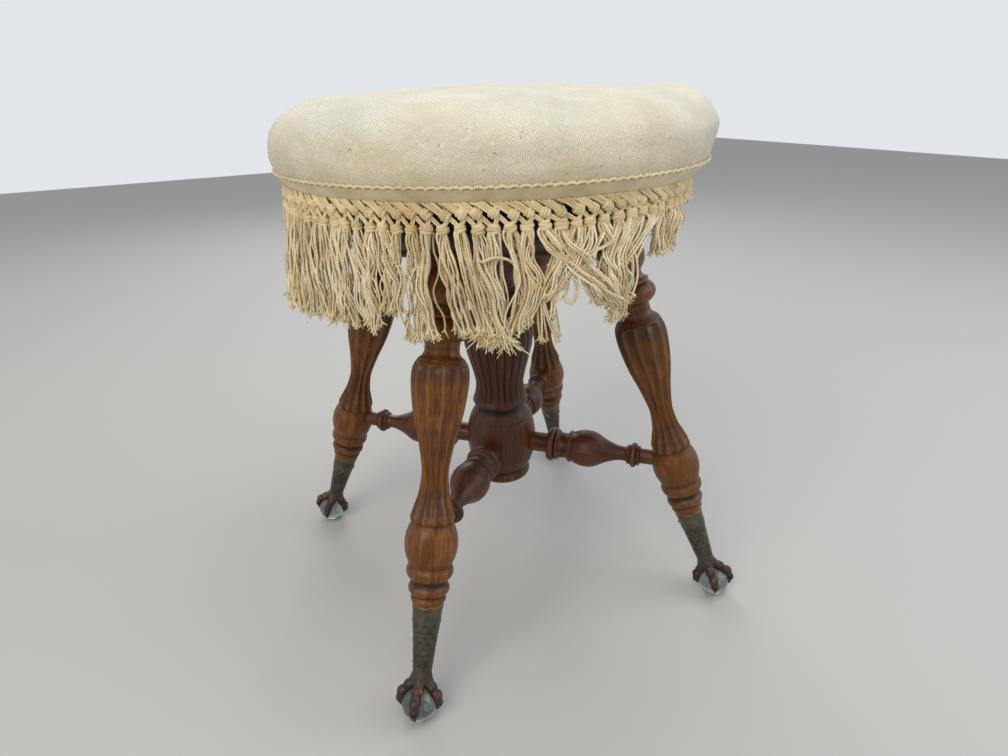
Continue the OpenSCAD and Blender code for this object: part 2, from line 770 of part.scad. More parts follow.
module seat_padding() {
    color("#8a7b62") rotate_extrude() polygon(concat(
        [[0, board_top], [board_r, board_top]],
        [for (k = [1:len(cover_inner_pts) - 1]) cover_inner_pts[k]]));
}

module cover_tacks() {
    color("#4a4844") for (k = [0:tack_count - 1])
        rotate([0, 0, 360 * k / tack_count]) translate([tack_circle_r, 0, under_z - tack_head_t]) {
            cylinder(h = tack_head_t, r = tack_head_r, $fn = 24);
            cylinder(h = tack_head_t + tack_shank_len, r = tack_shank_r, $fn = 24);
        }
}

// Fringe: tape, corded edge, knotted heading and tassels

tape_skin = tape_t * [cos(tape_slope), -sin(tape_slope)];

module fringe_tape() {
    low = [tape_low_r, tape_low_z];
    high = [tape_top_r, tape_top_z];
    color("#b9aa86") rotate_extrude() polygon([low, low + tape_skin, high + tape_skin, high]);
}

module fringe_edging() {
    color("#cdb373") rotate_extrude()
        translate([tape_top_r + edging_r * edging_out_share, tape_top_z + edging_r * edging_up_share])
            circle(r = edging_r, $fn = 24);
}

module at_drops() {
    for (k = [0:fringe_drops - 1])
        rotate([0, 0, 360 * k / fringe_drops]) translate([drop_r, 0, drop_top_z]) children();
}

// A stem with two knots, hanging from the tape
module knot_drop() {
    k1 = -first_knot_drop;
    k2 = -second_knot_drop;
    pts = concat(
        [[0, 0], [drop_stem_r, 0], [drop_stem_r, k1 + knot_r * stem_seat_share]],
        [for (a = [60, 30, 0, -30, -60]) [knot_r * cos(a), k1 + knot_r * sin(a)]],
        [[link_r, k1 - knot_r], [link_r, k2 + second_knot_r]],
        [for (a = [60, 30, 0, -30, -60]) [second_knot_r * cos(a), k2 + second_knot_r * sin(a)]],
        [[0, k2 - second_knot_r]]);
    rotate_extrude($fn = 24) polygon(pts);
}

module fringe_knots() {
    color("#cdbb92") at_drops() knot_drop();
}

tassel_shares = [
    [0, 0.96, 0], [0.05, 1, 0], [0.3, 0.86, 0], [0.7, 0.78, 0], [0.93, 0.68, 0], [1, 0.35, 0.2]
];

module fringe_tassels() {
    color("#d9c79b") at_drops()
        translate([0, 0, tassel_top_z - drop_top_z - tassel_len])
            rotate_extrude($fn = 24) {
                pts = turned_pts(tassel_shares, tassel_len, tassel_r);
                polygon(concat([[0, 0]], pts, [[0, tassel_len]]));
            }
}

center_column();
top_block();
foot_pins();
nut_plate();
nut_plate_screws();
screw_washer();
seat_screw();
screw_cross_pin();
stop_washer();
stop_pin();
seat_iron();
seat_iron_screws();
seat_board();
bottom_lining();
seat_padding();
cushion_cover();
cover_tacks();
fringe_tape();
fringe_edging();
fringe_knots();
fringe_tassels();
for (i = [0:3]) {
    leg(i);
    stretcher(i);
    claw_foot(i);
    glass_ball(i);
}
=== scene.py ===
# Revolving piano stool: turned and fluted legs on cast claw feet with glass
# balls, a reeded column, and a round stuffed seat with a knotted cotton fringe.
import math
import random

import bpy
from mathutils import Matrix, Vector, noise
from mathutils.kdtree import KDTree


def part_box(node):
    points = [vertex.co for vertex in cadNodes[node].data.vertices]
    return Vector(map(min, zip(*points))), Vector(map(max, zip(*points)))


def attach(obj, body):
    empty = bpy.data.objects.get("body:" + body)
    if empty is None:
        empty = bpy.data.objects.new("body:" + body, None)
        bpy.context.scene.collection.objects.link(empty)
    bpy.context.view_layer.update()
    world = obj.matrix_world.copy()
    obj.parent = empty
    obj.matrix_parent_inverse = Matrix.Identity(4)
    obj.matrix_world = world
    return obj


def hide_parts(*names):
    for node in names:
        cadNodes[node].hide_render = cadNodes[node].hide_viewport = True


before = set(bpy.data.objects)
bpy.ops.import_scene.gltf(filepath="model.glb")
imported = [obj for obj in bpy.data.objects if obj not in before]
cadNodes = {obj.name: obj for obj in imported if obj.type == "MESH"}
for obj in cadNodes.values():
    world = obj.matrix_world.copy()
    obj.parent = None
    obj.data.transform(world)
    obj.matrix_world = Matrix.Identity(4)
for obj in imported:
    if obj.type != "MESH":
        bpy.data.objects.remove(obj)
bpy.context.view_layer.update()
mm = 0.001
sideTurns = {"front": 225, "right": 315, "back": 45, "left": 135}

ballLow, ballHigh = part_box("glass_ball_front")
ballRadius = (ballHigh.z - ballLow.z) / 2
ballCircle = ((ballLow + ballHigh) / 2).xy.length
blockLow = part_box("top_block")[0]
boardLow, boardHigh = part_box("seat_board")
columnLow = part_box("center_column")[0]
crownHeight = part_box("cushion_cover")[1].z
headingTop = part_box("fringe_knots")[1].z
tasselsLow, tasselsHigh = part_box("fringe_tassels")

# Camera at the photograph's place, found from the feet, the rings and the rims
print("camera, floor and lamps")
camera = {"place": (-0.2799, -0.5954, 0.5249), "yaw": 64.403, "pitch": -23.972, "roll": -1.818,
          "focalPixels": 660.7, "imageWidth": 1008, "sensor": 36}


def placeCamera():
    yaw, pitch, roll = (math.radians(camera[turn]) for turn in ("yaw", "pitch", "roll"))
    ahead = Vector((math.cos(pitch) * math.cos(yaw), math.cos(pitch) * math.sin(yaw), math.sin(pitch)))
    right = Vector((math.sin(yaw), -math.cos(yaw), 0))
    up = right.cross(ahead)
    across = right * math.cos(roll) + up * math.sin(roll)
    upright = up * math.cos(roll) - right * math.sin(roll)
    bpy.ops.object.camera_add()
    eye = bpy.context.object
    eye.name = "photo_camera"
    eye.data.sensor_width = camera["sensor"]
    eye.data.lens = camera["focalPixels"] * camera["sensor"] / camera["imageWidth"]
    turned = Matrix((across, upright, -ahead)).transposed().to_4x4()
    eye.matrix_world = Matrix.Translation(camera["place"]) @ turned
    bpy.context.scene.camera = eye


placeCamera()


def toLinear(hexColour):
    # sRGB hex to the linear values that the shaders take
    parts = [int(hexColour[i:i + 2], 16) / 255 for i in (1, 3, 5)]
    return [c / 12.92 if c <= 0.04045 else ((c + 0.055) / 1.055) ** 2.4 for c in parts] + [1]


def addNode(tree, kind, settings=None, links=None, stops=None):
    # settings are the node's own or its sockets', by name or number; stops are a ramp's
    node = tree.nodes.new("ShaderNode" + kind)
    for name, value in (settings or {}).items():
        if isinstance(value, str) and value.startswith("#"):
            value = toLinear(value)
        if isinstance(name, int) or name in node.inputs:
            node.inputs[name].default_value = value
        else:
            setattr(node, name, value)
    for place, tone in stops or []:
        point = node.color_ramp.elements.new(place)
        point.color = toLinear(tone) if isinstance(tone, str) else [tone, tone, tone, 1]
    if stops:
        node.color_ramp.elements.remove(node.color_ramp.elements[0])
        node.color_ramp.elements.remove(node.color_ramp.elements[-1])
    for name, source in (links or {}).items():
        tree.links.new(source, node.inputs[name])
    return node


def newMaterial(name, settings):
    material = bpy.data.materials.new(name)
    material.use_nodes = True
    tree = material.node_tree
    tree.nodes.clear()
    shader = addNode(tree, "BsdfPrincipled", settings)
    addNode(tree, "OutputMaterial", None, {"Surface": shader.outputs[0]})
    return material, tree, shader


# Pale floor and soft lamps
studio = {"floorSize": 9, "floorTone": "#bfbfbb", "backdrop": "#e2e5ea", "fill": "#f4f6fb", "fillLevel": 0.46,
          "aim": (0, 0, 0.25),
          "lamps": [("key_lamp", (-1.5, -1.1, 1.9), 1.5, 26, "#fff6ea"),
                    ("window_lamp", (1.6, -0.9, 1.3), 1.6, 14, "#eef3ff"),
                    ("back_lamp", (0.5, 1.9, 1.6), 1.4, 15, "#ffffff"),
                    ("top_lamp", (0.2, -0.3, 2.4), 1.3, 10, "#ffffff")]}


def buildStudio():
    bpy.ops.mesh.primitive_plane_add(size=studio["floorSize"])
    floor = bpy.context.object
    floor.name = "studio_floor"
    finish = {"Roughness": 0.7, "Base Color": studio["floorTone"]}
    material, tree, shader = newMaterial("painted floor", finish)
    floor.data.materials.append(material)
    for name, place, size, power, tone in studio["lamps"]:
        bpy.ops.object.light_add(type="AREA", location=place)
        lamp = bpy.context.object
        lamp.name = name
        lamp.data.size = size
        lamp.data.energy = power
        lamp.data.color = toLinear(tone)[:3]
        lamp.rotation_euler = (Vector(studio["aim"]) - Vector(place)).to_track_quat("-Z", "Y").to_euler()
    world = bpy.data.worlds.new("studio")
    bpy.context.scene.world = world
    world.use_nodes = True
    tree = world.node_tree
    tree.nodes.clear()
    path = addNode(tree, "LightPath")
    seen = addNode(tree, "Math", {"operation": "MAXIMUM"},
                   {0: path.outputs["Is Camera Ray"], 1: path.outputs["Is Glossy Ray"]})
    shown = addNode(tree, "Math", {"operation": "MAXIMUM"},
                    {0: seen.outputs[0], 1: path.outputs["Is Transmission Ray"]})
    fill = addNode(tree, "Background", {"Color": studio["fill"], "Strength": studio["fillLevel"]})
    backdrop = addNode(tree, "Background", {"Color": studio["backdrop"], "Strength": 1})
    both = addNode(tree, "MixShader", None,
                   {0: shown.outputs[0], 1: fill.outputs[0], 2: backdrop.outputs[0]})
    addNode(tree, "OutputWorld", None, {"Surface": both.outputs[0]})
    bpy.context.scene.view_settings.view_transform = "Standard"


buildStudio()


def pickUp(*pieces):
    # only these are selected, so that an operator acts on nothing else
    bpy.ops.object.select_all(action="DESELECT")
    for piece in pieces:
        piece.select_set(True)
    bpy.context.view_layer.objects.active = pieces[0]


def applyModifier(piece, kind, **settings):
    pickUp(piece)
    bpy.ops.object.modifier_add(type=kind)
    modifier = piece.modifiers[-1]
    for name, value in settings.items():
        setattr(modifier, name, value)
    bpy.ops.object.modifier_apply(modifier=modifier.name)


def setInPlace(piece, matrix):
    # the place goes into the mesh, and the object stays at the origin
    pickUp(piece)
    piece.matrix_world = matrix
    bpy.ops.object.transform_apply(location=True, rotation=True, scale=True)


def copyPiece(piece, name, matrix):
    pickUp(piece)
    bpy.ops.object.duplicate()
    copy = bpy.context.object
    copy.name = name
    setInPlace(copy, matrix)
    return copy


def dropPiece(piece):
    bpy.data.objects.remove(piece, do_unlink=True)


def atSide(side):
    return Matrix.Rotation(math.radians(sideTurns[side]), 4, "Z")


def arcTo(start, end, bulge, steps):
    # an arc from start to end, whose rise is the bulge times half its chord
    if bulge == 0:
        return [end]
    chord = end - start
    way = chord.normalized()
    out = Vector((way.y, -way.x)) * math.copysign(1, bulge)
    sweep = 4 * math.atan(abs(bulge))
    radius = chord.length / 2 / math.sin(sweep / 2)
    centre = (start + end) / 2 - out * radius * math.cos(sweep / 2)
    turns = [-sweep / 2 + sweep * k / steps for k in range(1, steps + 1)]
    return [centre + radius * (out * math.cos(turn) + way * math.sin(turn)) for turn in turns]


def smoothThrough(points, steps):
    # a flowing curve through given points of any dimension
    held = [points[0], *points, points[-1]]
    curve = []
    for a, b, c, d in zip(held, held[1:], held[2:], held[3:]):
        for t in (k / steps for k in range(steps)):
            curve.append((2 * b + (c - a) * t + (2 * a - 5 * b + 4 * c - d) * t * t
                          + (3 * b - a - 3 * c + d) * t ** 3) / 2)
    return curve + [points[-1]]


def easeCorners(points, reach, sharpest=0.35):
    # each sharp corner of an outline becomes a small round, as handling wears it
    eased = [points[0]]
    for before, corner, after in zip(points, points[1:], points[2:]):
        back, on = before - corner, after - corner
        if min(back.length, on.length) < 1e-7 or (-back).angle(on) < sharpest:
            eased.append(corner)
            continue
        start = corner + back.normalized() * min(reach, back.length * 0.4)
        end = corner + on.normalized() * min(reach, on.length * 0.4)
        eased += [start, (start + end + 2 * corner) / 4, end]
    return eased + [points[-1]]


def turnedOutline(rows, length, radius, base=0, steps=7):
    # rows are [way along, radius, bulge of the arc that arrives there], as shares
    points = [Vector((row[1] * radius, base + row[0] * length)) for row in rows]
    outline = [points[0]]
    for before, point, row in zip(points, points[1:], rows[1:]):
        outline += arcTo(before, point, row[2], steps)
    return outline


def drawRings(name, rings, sides, fill):
    # ring after ring is drawn up the axis and set to its radius; edit mode stays on
    radius, height = rings[0]
    bpy.ops.object.select_all(action="DESELECT")
    bpy.ops.mesh.primitive_circle_add(vertices=sides, radius=radius, fill_type=fill, location=(0, 0, height))
    piece = bpy.context.object
    piece.name = name
    bpy.ops.object.transform_apply(location=True, rotation=False, scale=False)
    bpy.ops.object.mode_set(mode="EDIT")
    bpy.ops.mesh.select_all(action="SELECT")
    for ring in rings[1:]:
        bpy.ops.mesh.extrude_region_move(TRANSFORM_OT_translate={"value": (0, 0, ring.y - height)})
        growth = ring.x / radius
        bpy.ops.transform.resize(value=(growth, growth, 1), center_override=(0, 0, ring.y))
        radius, height = ring
    return piece


def turnOutward():
    bpy.ops.mesh.select_all(action="SELECT")
    bpy.ops.mesh.normals_make_consistent(inside=False)
    bpy.ops.object.mode_set(mode="OBJECT")


def turnBlank(name, outline, sides):
    piece = drawRings(name, outline, sides, "NGON")
    turnOutward()
    return piece


def threadLayer(piece):
    # the map that holds the cloth's own threads
    layer = piece.data.uv_layers[0] if piece.data.uv_layers else piece.data.uv_layers.new(name="threads")
    layer.name = "threads"
    return layer


def carve(piece, cutAt):
    # every point is cut in towards the lathe's axis by cutAt(turn in degrees, height)
    for point in piece.data.vertices:
        radius = point.co.xy.length
        turn = math.degrees(math.atan2(point.co.y, point.co.x)) % 360
        depth = cutAt(turn, point.co.z)
        if depth > 0:
            point.co.xy *= 1 - depth / radius


def markHollows(piece, outline, reach, full, cutAt=None, zones=()):
    # hollow is 0 on what stands proud and 1 down in a cove or a flute, where the
    # material paints shade over gathered polish and dirt; grain keeps the blank's own axes for the wood.
    # zones are (from, to, share) lengths of the blank that are drawn darker all round
    high = {}
    hollows = piece.data.attributes.new("hollow", "FLOAT", "POINT")
    grain = piece.data.attributes.new("grain", "FLOAT_VECTOR", "POINT")
    for point, hollow, place in zip(piece.data.vertices, hollows.data, grain.data):
        height = round(point.co.z, 4)
        if height not in high:
            above = [ring.x for ring in outline if -1e-5 <= ring.y - height <= reach]
            below = [ring.x for ring in outline if -1e-5 <= height - ring.y <= reach]
            high[height] = min(max(above or [0]), max(below or [0]))
        own = point.co.xy.length
        if cutAt:
            # a flute gets half the painted shade and dirt of a cove, as dusting wipes it
            own += 0.5 * cutAt(math.degrees(math.atan2(point.co.y, point.co.x)) % 360, point.co.z)
        value = (high[height] - own) / full
        for start, end, share in zones:
            middle, half = (start + end) / 2, abs(end - start) / 2
            value += share * max(0, 1 - (abs(point.co.z - middle) / half) ** 4)
        hollow.value = min(1, max(0, value))
        place.vector = point.co


def offsetGrain(piece, shift):
    # each blank is cut from another place in the plank
    for place in piece.data.attributes["grain"].data:
        place.vector = Vector(place.vector) + shift


def shadeSmooth(piece, sharpest=40):
    pickUp(piece)
    bpy.ops.object.shade_smooth_by_angle(angle=math.radians(sharpest))


# Legs: walnut, turned, with twelve scooped flutes round each vase
print("legs")
leg = {"footHeight": 103 * mm, "footKick": 34.4 * mm, "headCircle": 118.5 * mm, "lowerLength": 77.5 * mm,
       "bulbRadius": 23.7 * mm, "vaseLength": 141.4 * mm, "vaseRadius": 25.3 * mm, "ringRadius": 25.2 * mm,
       "headSpare": 12 * mm, "sides": 144, "flutes": 12, "fluteDepth": 2.4 * mm, "fluteTop": 0.982,
       "fluteRound": 0.45, "fluteStart": 0.55, "fluteGrowth": 8,
       "wear": 0.45 * mm, "hollowReach": 7 * mm, "hollowDepth": 4 * mm,
       # lengths that are drawn darker all round, as shares of the lower part or the vase, and how much
       "darkLower": [(0, 0.3, 0.18), (0.62, 0.9, 0.16)], "darkVase": [(0, 0.22, 0.22), (0.86, 1.06, 0.3)],
       "plankStep": Vector((0.31, 0.17, 0.43)),
       "lowerRows": [[0, .59, 0], [.027, .59, 0], [.1, .62, .5], [.135, .68, -.3], [.245, .7, .5],
                     [.312, .72, -.45], [.405, .886, .3], [.426, .886, 0], [.495, .823, -.12],
                     [.975, .78, .26], [.985, .775, 0]],
       "vaseRows": [[0, .77], [.024, .785], [.096, .672], [.17, .545], [.289, .47], [.378, .518],
                    [.511, .66], [.644, .842], [.763, .949], [.852, .998], [.893, 1], [.93, .985]],
       "shoulderRows": [[.93, .985, 0], [.965, .93, .1], [.985, .865, .1], [.99, .84, 0], [.992, .83, 0],
                        [.998, .815, .8], [1, .79, 0]],
       "upperRows": [[0, .79, 0], [.015, .76, .6], [.03, .7, 0], [.12, .6, -.25], [.19, .64, -.15],
                     [.41, .72, .78], [.42, .79, 0], [.45, .79, .5], [.53, .61, -.35], [.56, .66, 0],
                     [.89, .66, .44], [.91, .635, 0], [.95, .635, 0], [1, .7, -.2]]}
leg["footCircle"] = ballCircle - leg["footKick"]
leg["rise"] = blockLow.z - leg["footHeight"]
leg["splay"] = math.atan2(leg["footCircle"] - leg["headCircle"], leg["rise"])
leg["length"] = math.hypot(leg["footCircle"] - leg["headCircle"], leg["rise"])
legFrame = (Matrix.Translation((leg["footCircle"], 0, leg["footHeight"]))
            @ Matrix.Rotation(-leg["splay"], 4, "Y"))


def legOutline():
    vaseBase = leg["lowerLength"]
    upperBase = vaseBase + leg["vaseLength"]
    lower = turnedOutline(leg["lowerRows"], leg["lowerLength"], leg["bulbRadius"])
    vase = smoothThrough([Vector((row[1] * leg["vaseRadius"], vaseBase + row[0] * leg["vaseLength"]))
                          for row in leg["vaseRows"]], 6)
    shoulder = turnedOutline(leg["shoulderRows"], leg["vaseLength"], leg["vaseRadius"], vaseBase)
    upper = turnedOutline(leg["upperRows"], leg["length"] - upperBase, leg["ringRadius"], upperBase)
    top = Vector((upper[-1].x, leg["length"] + leg["headSpare"]))
    return easeCorners(lower + vase + shoulder[1:] + upper[1:] + [top], leg["wear"])


def fluteCut(turn, height):
    # a scoop between two sharp ridges, with a round end under the shoulder's bead
    along = (height - leg["lowerLength"]) / leg["vaseLength"]
    if along < 0 or along > leg["fluteTop"]:
        return 0
    across = (turn * leg["flutes"] / 360 % 1) * 2 - 1
    halfWidth = math.pi * leg["vaseRadius"] / leg["flutes"] / leg["vaseLength"]
    past = max(0, 1 - (leg["fluteTop"] - along) / (halfWidth * leg["fluteRound"]))
    start = min(1, leg["fluteStart"] + along * leg["fluteGrowth"])
    return leg["fluteDepth"] * start * max(0, 1 - across ** 2 - past ** 2)


def makeLegs():
    outline = legOutline()
    blank = turnBlank("leg_blank", outline, leg["sides"])
    carve(blank, fluteCut)
    lower, vase = leg["lowerLength"], leg["vaseLength"]
    zones = [(lower + start * vase, lower + end * vase, share) for start, end, share in leg["darkVase"]]
    zones += [(start * lower, end * lower, share) for start, end, share in leg["darkLower"]]
    markHollows(blank, outline, leg["hollowReach"], leg["hollowDepth"], fluteCut, zones)
    legs = {}
    for n, side in enumerate(sideTurns):
        piece = copyPiece(blank, "turned_leg_" + side, atSide(side) @ legFrame)
        bpy.ops.object.mode_set(mode="EDIT")
        bpy.ops.mesh.select_all(action="SELECT")
        bpy.ops.mesh.bisect(plane_co=(0, 0, blockLow.z), plane_no=(0, 0, 1), use_fill=True, clear_outer=True)
        bpy.ops.object.mode_set(mode="OBJECT")
        offsetGrain(piece, leg["plankStep"] * n)
        shadeSmooth(piece)
        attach(piece, "base")
        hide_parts("leg_" + side)
        legs[side] = piece
    dropPiece(blank)
    return legs


legs = makeLegs()

# Centre column: mahogany, with twenty-four fine reeds round its vase
print("column and stretchers")
column = {"lowerLength": 91.5 * mm, "bulbRadius": 38.3 * mm, "vaseLength": 98 * mm, "vaseRadius": 37.3 * mm,
          "ringRadius": 33 * mm, "sides": 192, "reeds": 24, "reedDepth": 1.9 * mm, "reedTop": 0.95,
          "reedFoot": 0.05, "reedEase": 14, "wear": 0.45 * mm, "hollowReach": 7 * mm, "hollowDepth": 3.5 * mm,
          "lowerRows": [[0, .7, 0], [.115, .745, .6], [.135, .745, 0], [.14, .77, 0], [.53, 1, .125],
                        [.803, .888, .08], [.812, .86, 0], [.822, .868, 0], [.965, .64, .1], [.985, .64, 0],
                        [.992, .7, -.2]],
          "vaseRows": [[0, .78], [.03, .805], [.08, .75], [.214, .697], [.337, .743], [.49, .845],
                       [.643, .946], [.765, .997], [.847, 1], [.93, .938], [.965, .9]],
          "upperRows": [[0, .9, 0], [.06, .86, .4], [.13, .66, -.3], [.17, .72, 0], [.32, .72, .7],
                        [.36, .64, 0], [.43, .62, -.3], [.47, .68, 0], [.83, .7, .3], [.86, .66, 0],
                        [.93, .72, -.3], [.94, .86, 0], [1, .9, .3]]}


def columnOutline():
    vaseBase = columnLow.z + column["lowerLength"]
    upperBase = vaseBase + column["vaseLength"]
    lower = turnedOutline(column["lowerRows"], column["lowerLength"], column["bulbRadius"], columnLow.z)
    vase = smoothThrough([Vector((row[1] * column["vaseRadius"], vaseBase + row[0] * column["vaseLength"]))
                          for row in column["vaseRows"]], 6)
    upper = turnedOutline(column["upperRows"], blockLow.z - upperBase, column["ringRadius"], upperBase)
    return easeCorners(lower + vase + upper, column["wear"])


def reedCut(turn, height):
    # rounded reeds with a sharp valley between each two
    along = (height - columnLow.z - column["lowerLength"]) / column["vaseLength"]
    if along < column["reedFoot"] or along > column["reedTop"]:
        return 0
    across = abs((turn * column["reeds"] / 360 % 1) * 2 - 1)
    past = min(along - column["reedFoot"], column["reedTop"] - along)
    ends = min(1, past * column["reedEase"])
    return column["reedDepth"] * math.sqrt(max(0, ends)) * (1 - math.sqrt(max(0, 1 - across ** 2)))


def makeColumn():
    outline = columnOutline()
    piece = turnBlank("turned_column", outline, column["sides"])
    carve(piece, reedCut)
    markHollows(piece, outline, column["hollowReach"], column["hollowDepth"], reedCut)
    shadeSmooth(piece)
    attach(piece, "base")
    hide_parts("center_column")
    return piece


turnedColumn = makeColumn()

stretcher = {"bulbRadius": 19.9 * mm, "rootRadius": 10.5 * mm, "tipRadius": 7.9 * mm, "bury": 6 * mm,
             "legBulbShare": 0.77, "sides": 72, "wear": 0.4 * mm, "hollowReach": 6 * mm,
             "hollowDepth": 3.5 * mm, "plankStart": Vector((0, 0, 2)),
             "plankStep": Vector((0.23, 0.37, 0.19)),
             "rows": [[.126, .53, 0], [.131, .724, 0], [.2, .724, 1], [.206, .8, 0], [.226, .8, .8],
                      [.232, .75, 0], [.312, .73, -.22], [.318, .854, 0], [.338, .854, .3], [.346, .8, 0],
                      [.485, 1, .16], [.58, .8, .12], [.68, .5, -.06], [.76, .38, -.08], [.8, .4, -.1],
                      [.812, .5, 0], [.832, .5, .5], [.838, .56, 0], [.884, .56, .75], [.89, .5, 0],
                      [.91, .5, .5], [.916, .4, 0]]}
stretcher["height"] = (leg["footHeight"]
                       + stretcher["legBulbShare"] * leg["lowerLength"] * math.cos(leg["splay"]))
stretcher["axisEnd"] = leg["headCircle"] + (blockLow.z - stretcher["height"]) * math.tan(leg["splay"])
stretcher["span"] = (stretcher["axisEnd"] - leg["bulbRadius"] / math.cos(leg["splay"])
                     - column["bulbRadius"])


def makeStretchers():
    start = [Vector((stretcher["rootRadius"], -stretcher["bury"]))]
    turned = turnedOutline(stretcher["rows"], stretcher["span"], stretcher["bulbRadius"])
    end = [Vector((stretcher["tipRadius"], turned[-1].y)),
           Vector((stretcher["tipRadius"], stretcher["span"] + stretcher["bury"]))]
    outline = easeCorners(start + turned + end, stretcher["wear"])
    blank = turnBlank("stretcher_blank", outline, stretcher["sides"])
    markHollows(blank, outline, stretcher["hollowReach"], stretcher["hollowDepth"])
    lieDown = (Matrix.Translation((column["bulbRadius"], 0, stretcher["height"]))
               @ Matrix.Rotation(math.pi / 2, 4, "Y"))
    made = {}
    for n, side in enumerate(sideTurns):
        piece = copyPiece(blank, "turned_stretcher_" + side, atSide(side) @ lieDown)
        offsetGrain(piece, stretcher["plankStart"] + stretcher["plankStep"] * n)
        shadeSmooth(piece)
        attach(piece, "base")
        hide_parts("stretcher_" + side)
        made[side] = piece
    dropPiece(blank)
    return made


stretchers = makeStretchers()


def drawCords(name, strands, thickness, sides=4, closed=False):
    # each strand is a list of (place, share of the thickness); all become one mesh
    cord = bpy.data.curves.new(name, "CURVE")
    cord.dimensions = "3D"
    cord.bevel_depth = thickness
    cord.bevel_resolution = (sides - 4) // 2
    cord.use_fill_caps = not closed
    for strand in strands:
        line = cord.splines.new("POLY")
        line.points.add(len(strand) - 1)
        line.points.foreach_set("co", [value for place, share in strand for value in (*place, 1)])
        line.points.foreach_set("radius", [share for place, share in strand])
        line.use_cyclic_u = closed
    piece = bpy.data.objects.new(name, cord)
    bpy.context.scene.collection.objects.link(piece)
    pickUp(piece)
    bpy.ops.object.convert(target="MESH")
    piece = bpy.context.object
    bpy.ops.object.shade_smooth()
    return piece


# Claw feet: each is one iron casting with a scaled shank and four toes
print("claw feet")
claw = {"shankRadius": 13.5 * mm, "collarRadius": 14.1 * mm, "collarHeight": 5 * mm, "turn": 10,
        "uprightShare": 0.8, "topPolar": 14, "tipPolar": 106, "voxel": 0.5 * mm, "ballGap": 0.12 * mm,
        "scalesRound": 9, "scaleRow": 5.3 * mm, "scaleRise": 0.8 * mm, "scalesFrom": 31 * mm,
        "scalesTo": 80 * mm, "scute": 2.2 * mm, "scuteRise": 0.25 * mm, "scutesFrom": 26, "scutesTo": 80,
        "toeReach": 11 * mm, "toeFrom": 74 * mm, "toeOver": 36 * mm, "shankShare": 0.4,
        "heelRadius": 8.4 * mm, "heelRise": 0.27, "ankleRise": 30 * mm, "ankleReach": 14 * mm,
        "shankRows": [[.2, .55, 0], [.27, .62, .1], [.334, .63, 0], [.5, .7, -.02], [.62, .77, -.02],
                      [.86, .96, -.03], [1.1, 1.06, 0]],
        # how far in from the collar's rim, in mm, and how deep as a share of its height
        "collarRows": [(1.2, 1), (0.3, 0.86), (0.2, 0.56), (0.6, 0.48), (0.1, 0.4), (0, 0.12), (0.4, 0)],
        # down a toe: angle from the claw's top, its centre off the ball, its radius
        "toeStations": [(1, 25, 5.2), (4, 18, 5.6), (8, 12, 5.6), (13, 8.0, 5.4), (19, 5.2, 5.1),
                        (26, 3.8, 5.1), (33, 3.4, 5.4), (39, 2.5, 4.8), (45, 2.0, 4.4), (52, 2.5, 4.9),
                        (58, 2.9, 5.4), (65, 2.0, 4.5), (71, 1.6, 4.2), (77, 1.9, 4.6), (82, 1.7, 4.3),
                        (87, 1.1, 3.3), (92, 1.0, 2.8), (98, 0.9, 2.1), (103, 0.8, 1.4), (106, 0.6, 0.9)]}
claw["lean"] = math.atan2(leg["footKick"], leg["footHeight"] - ballRadius)
claw["length"] = math.hypot(leg["footKick"], leg["footHeight"] - ballRadius)
ballCentre = Vector((ballCircle, 0, ballRadius))
footFrame = Matrix.Translation(ballCentre) @ Matrix.Rotation(-claw["lean"], 4, "Y")


def makeToe(name, turn):
    # the claw leans with its shank at the top and straightens towards the talons
    stations = smoothThrough([Vector(row) for row in claw["toeStations"]], 3)
    strand = []
    for angle, off, radius in stations:
        way = min(1, max(0, (angle - claw["topPolar"]) / (claw["tipPolar"] - claw["topPolar"])))
        tilt = Matrix.Rotation(-claw["lean"] * (1 - claw["uprightShare"] * way), 4, "Y")
        spin = Matrix.Rotation(math.radians(claw["turn"] + turn), 4, "Z")
        a = math.radians(angle)
        reach = ballRadius + off * mm
        place = ballCentre + tilt @ spin @ Vector((reach * math.sin(a), 0, reach * math.cos(a)))
        strand.append((place, radius * mm))
    return drawCords(name, [strand], 1, sides=16)


def scaleHeight(turn, down):
    # overlapping scales in staggered rows, each rising to its own round tip
    rows = down / claw["scaleRow"]
    row = math.floor(rows)
    for lap in (1, 0):
        across = (turn * claw["scalesRound"] / 360 + (row - lap) % 2 / 2) % 1 * 2 - 1
        along = rows - row + lap
        tip = 1 + 0.9 * math.sqrt(max(0, 1 - across ** 2))
        if along < tip:
            return claw["scaleRise"] * (0.12 + 0.88 * (along / tip) ** 2) * (1 - 0.3 * across ** 2)


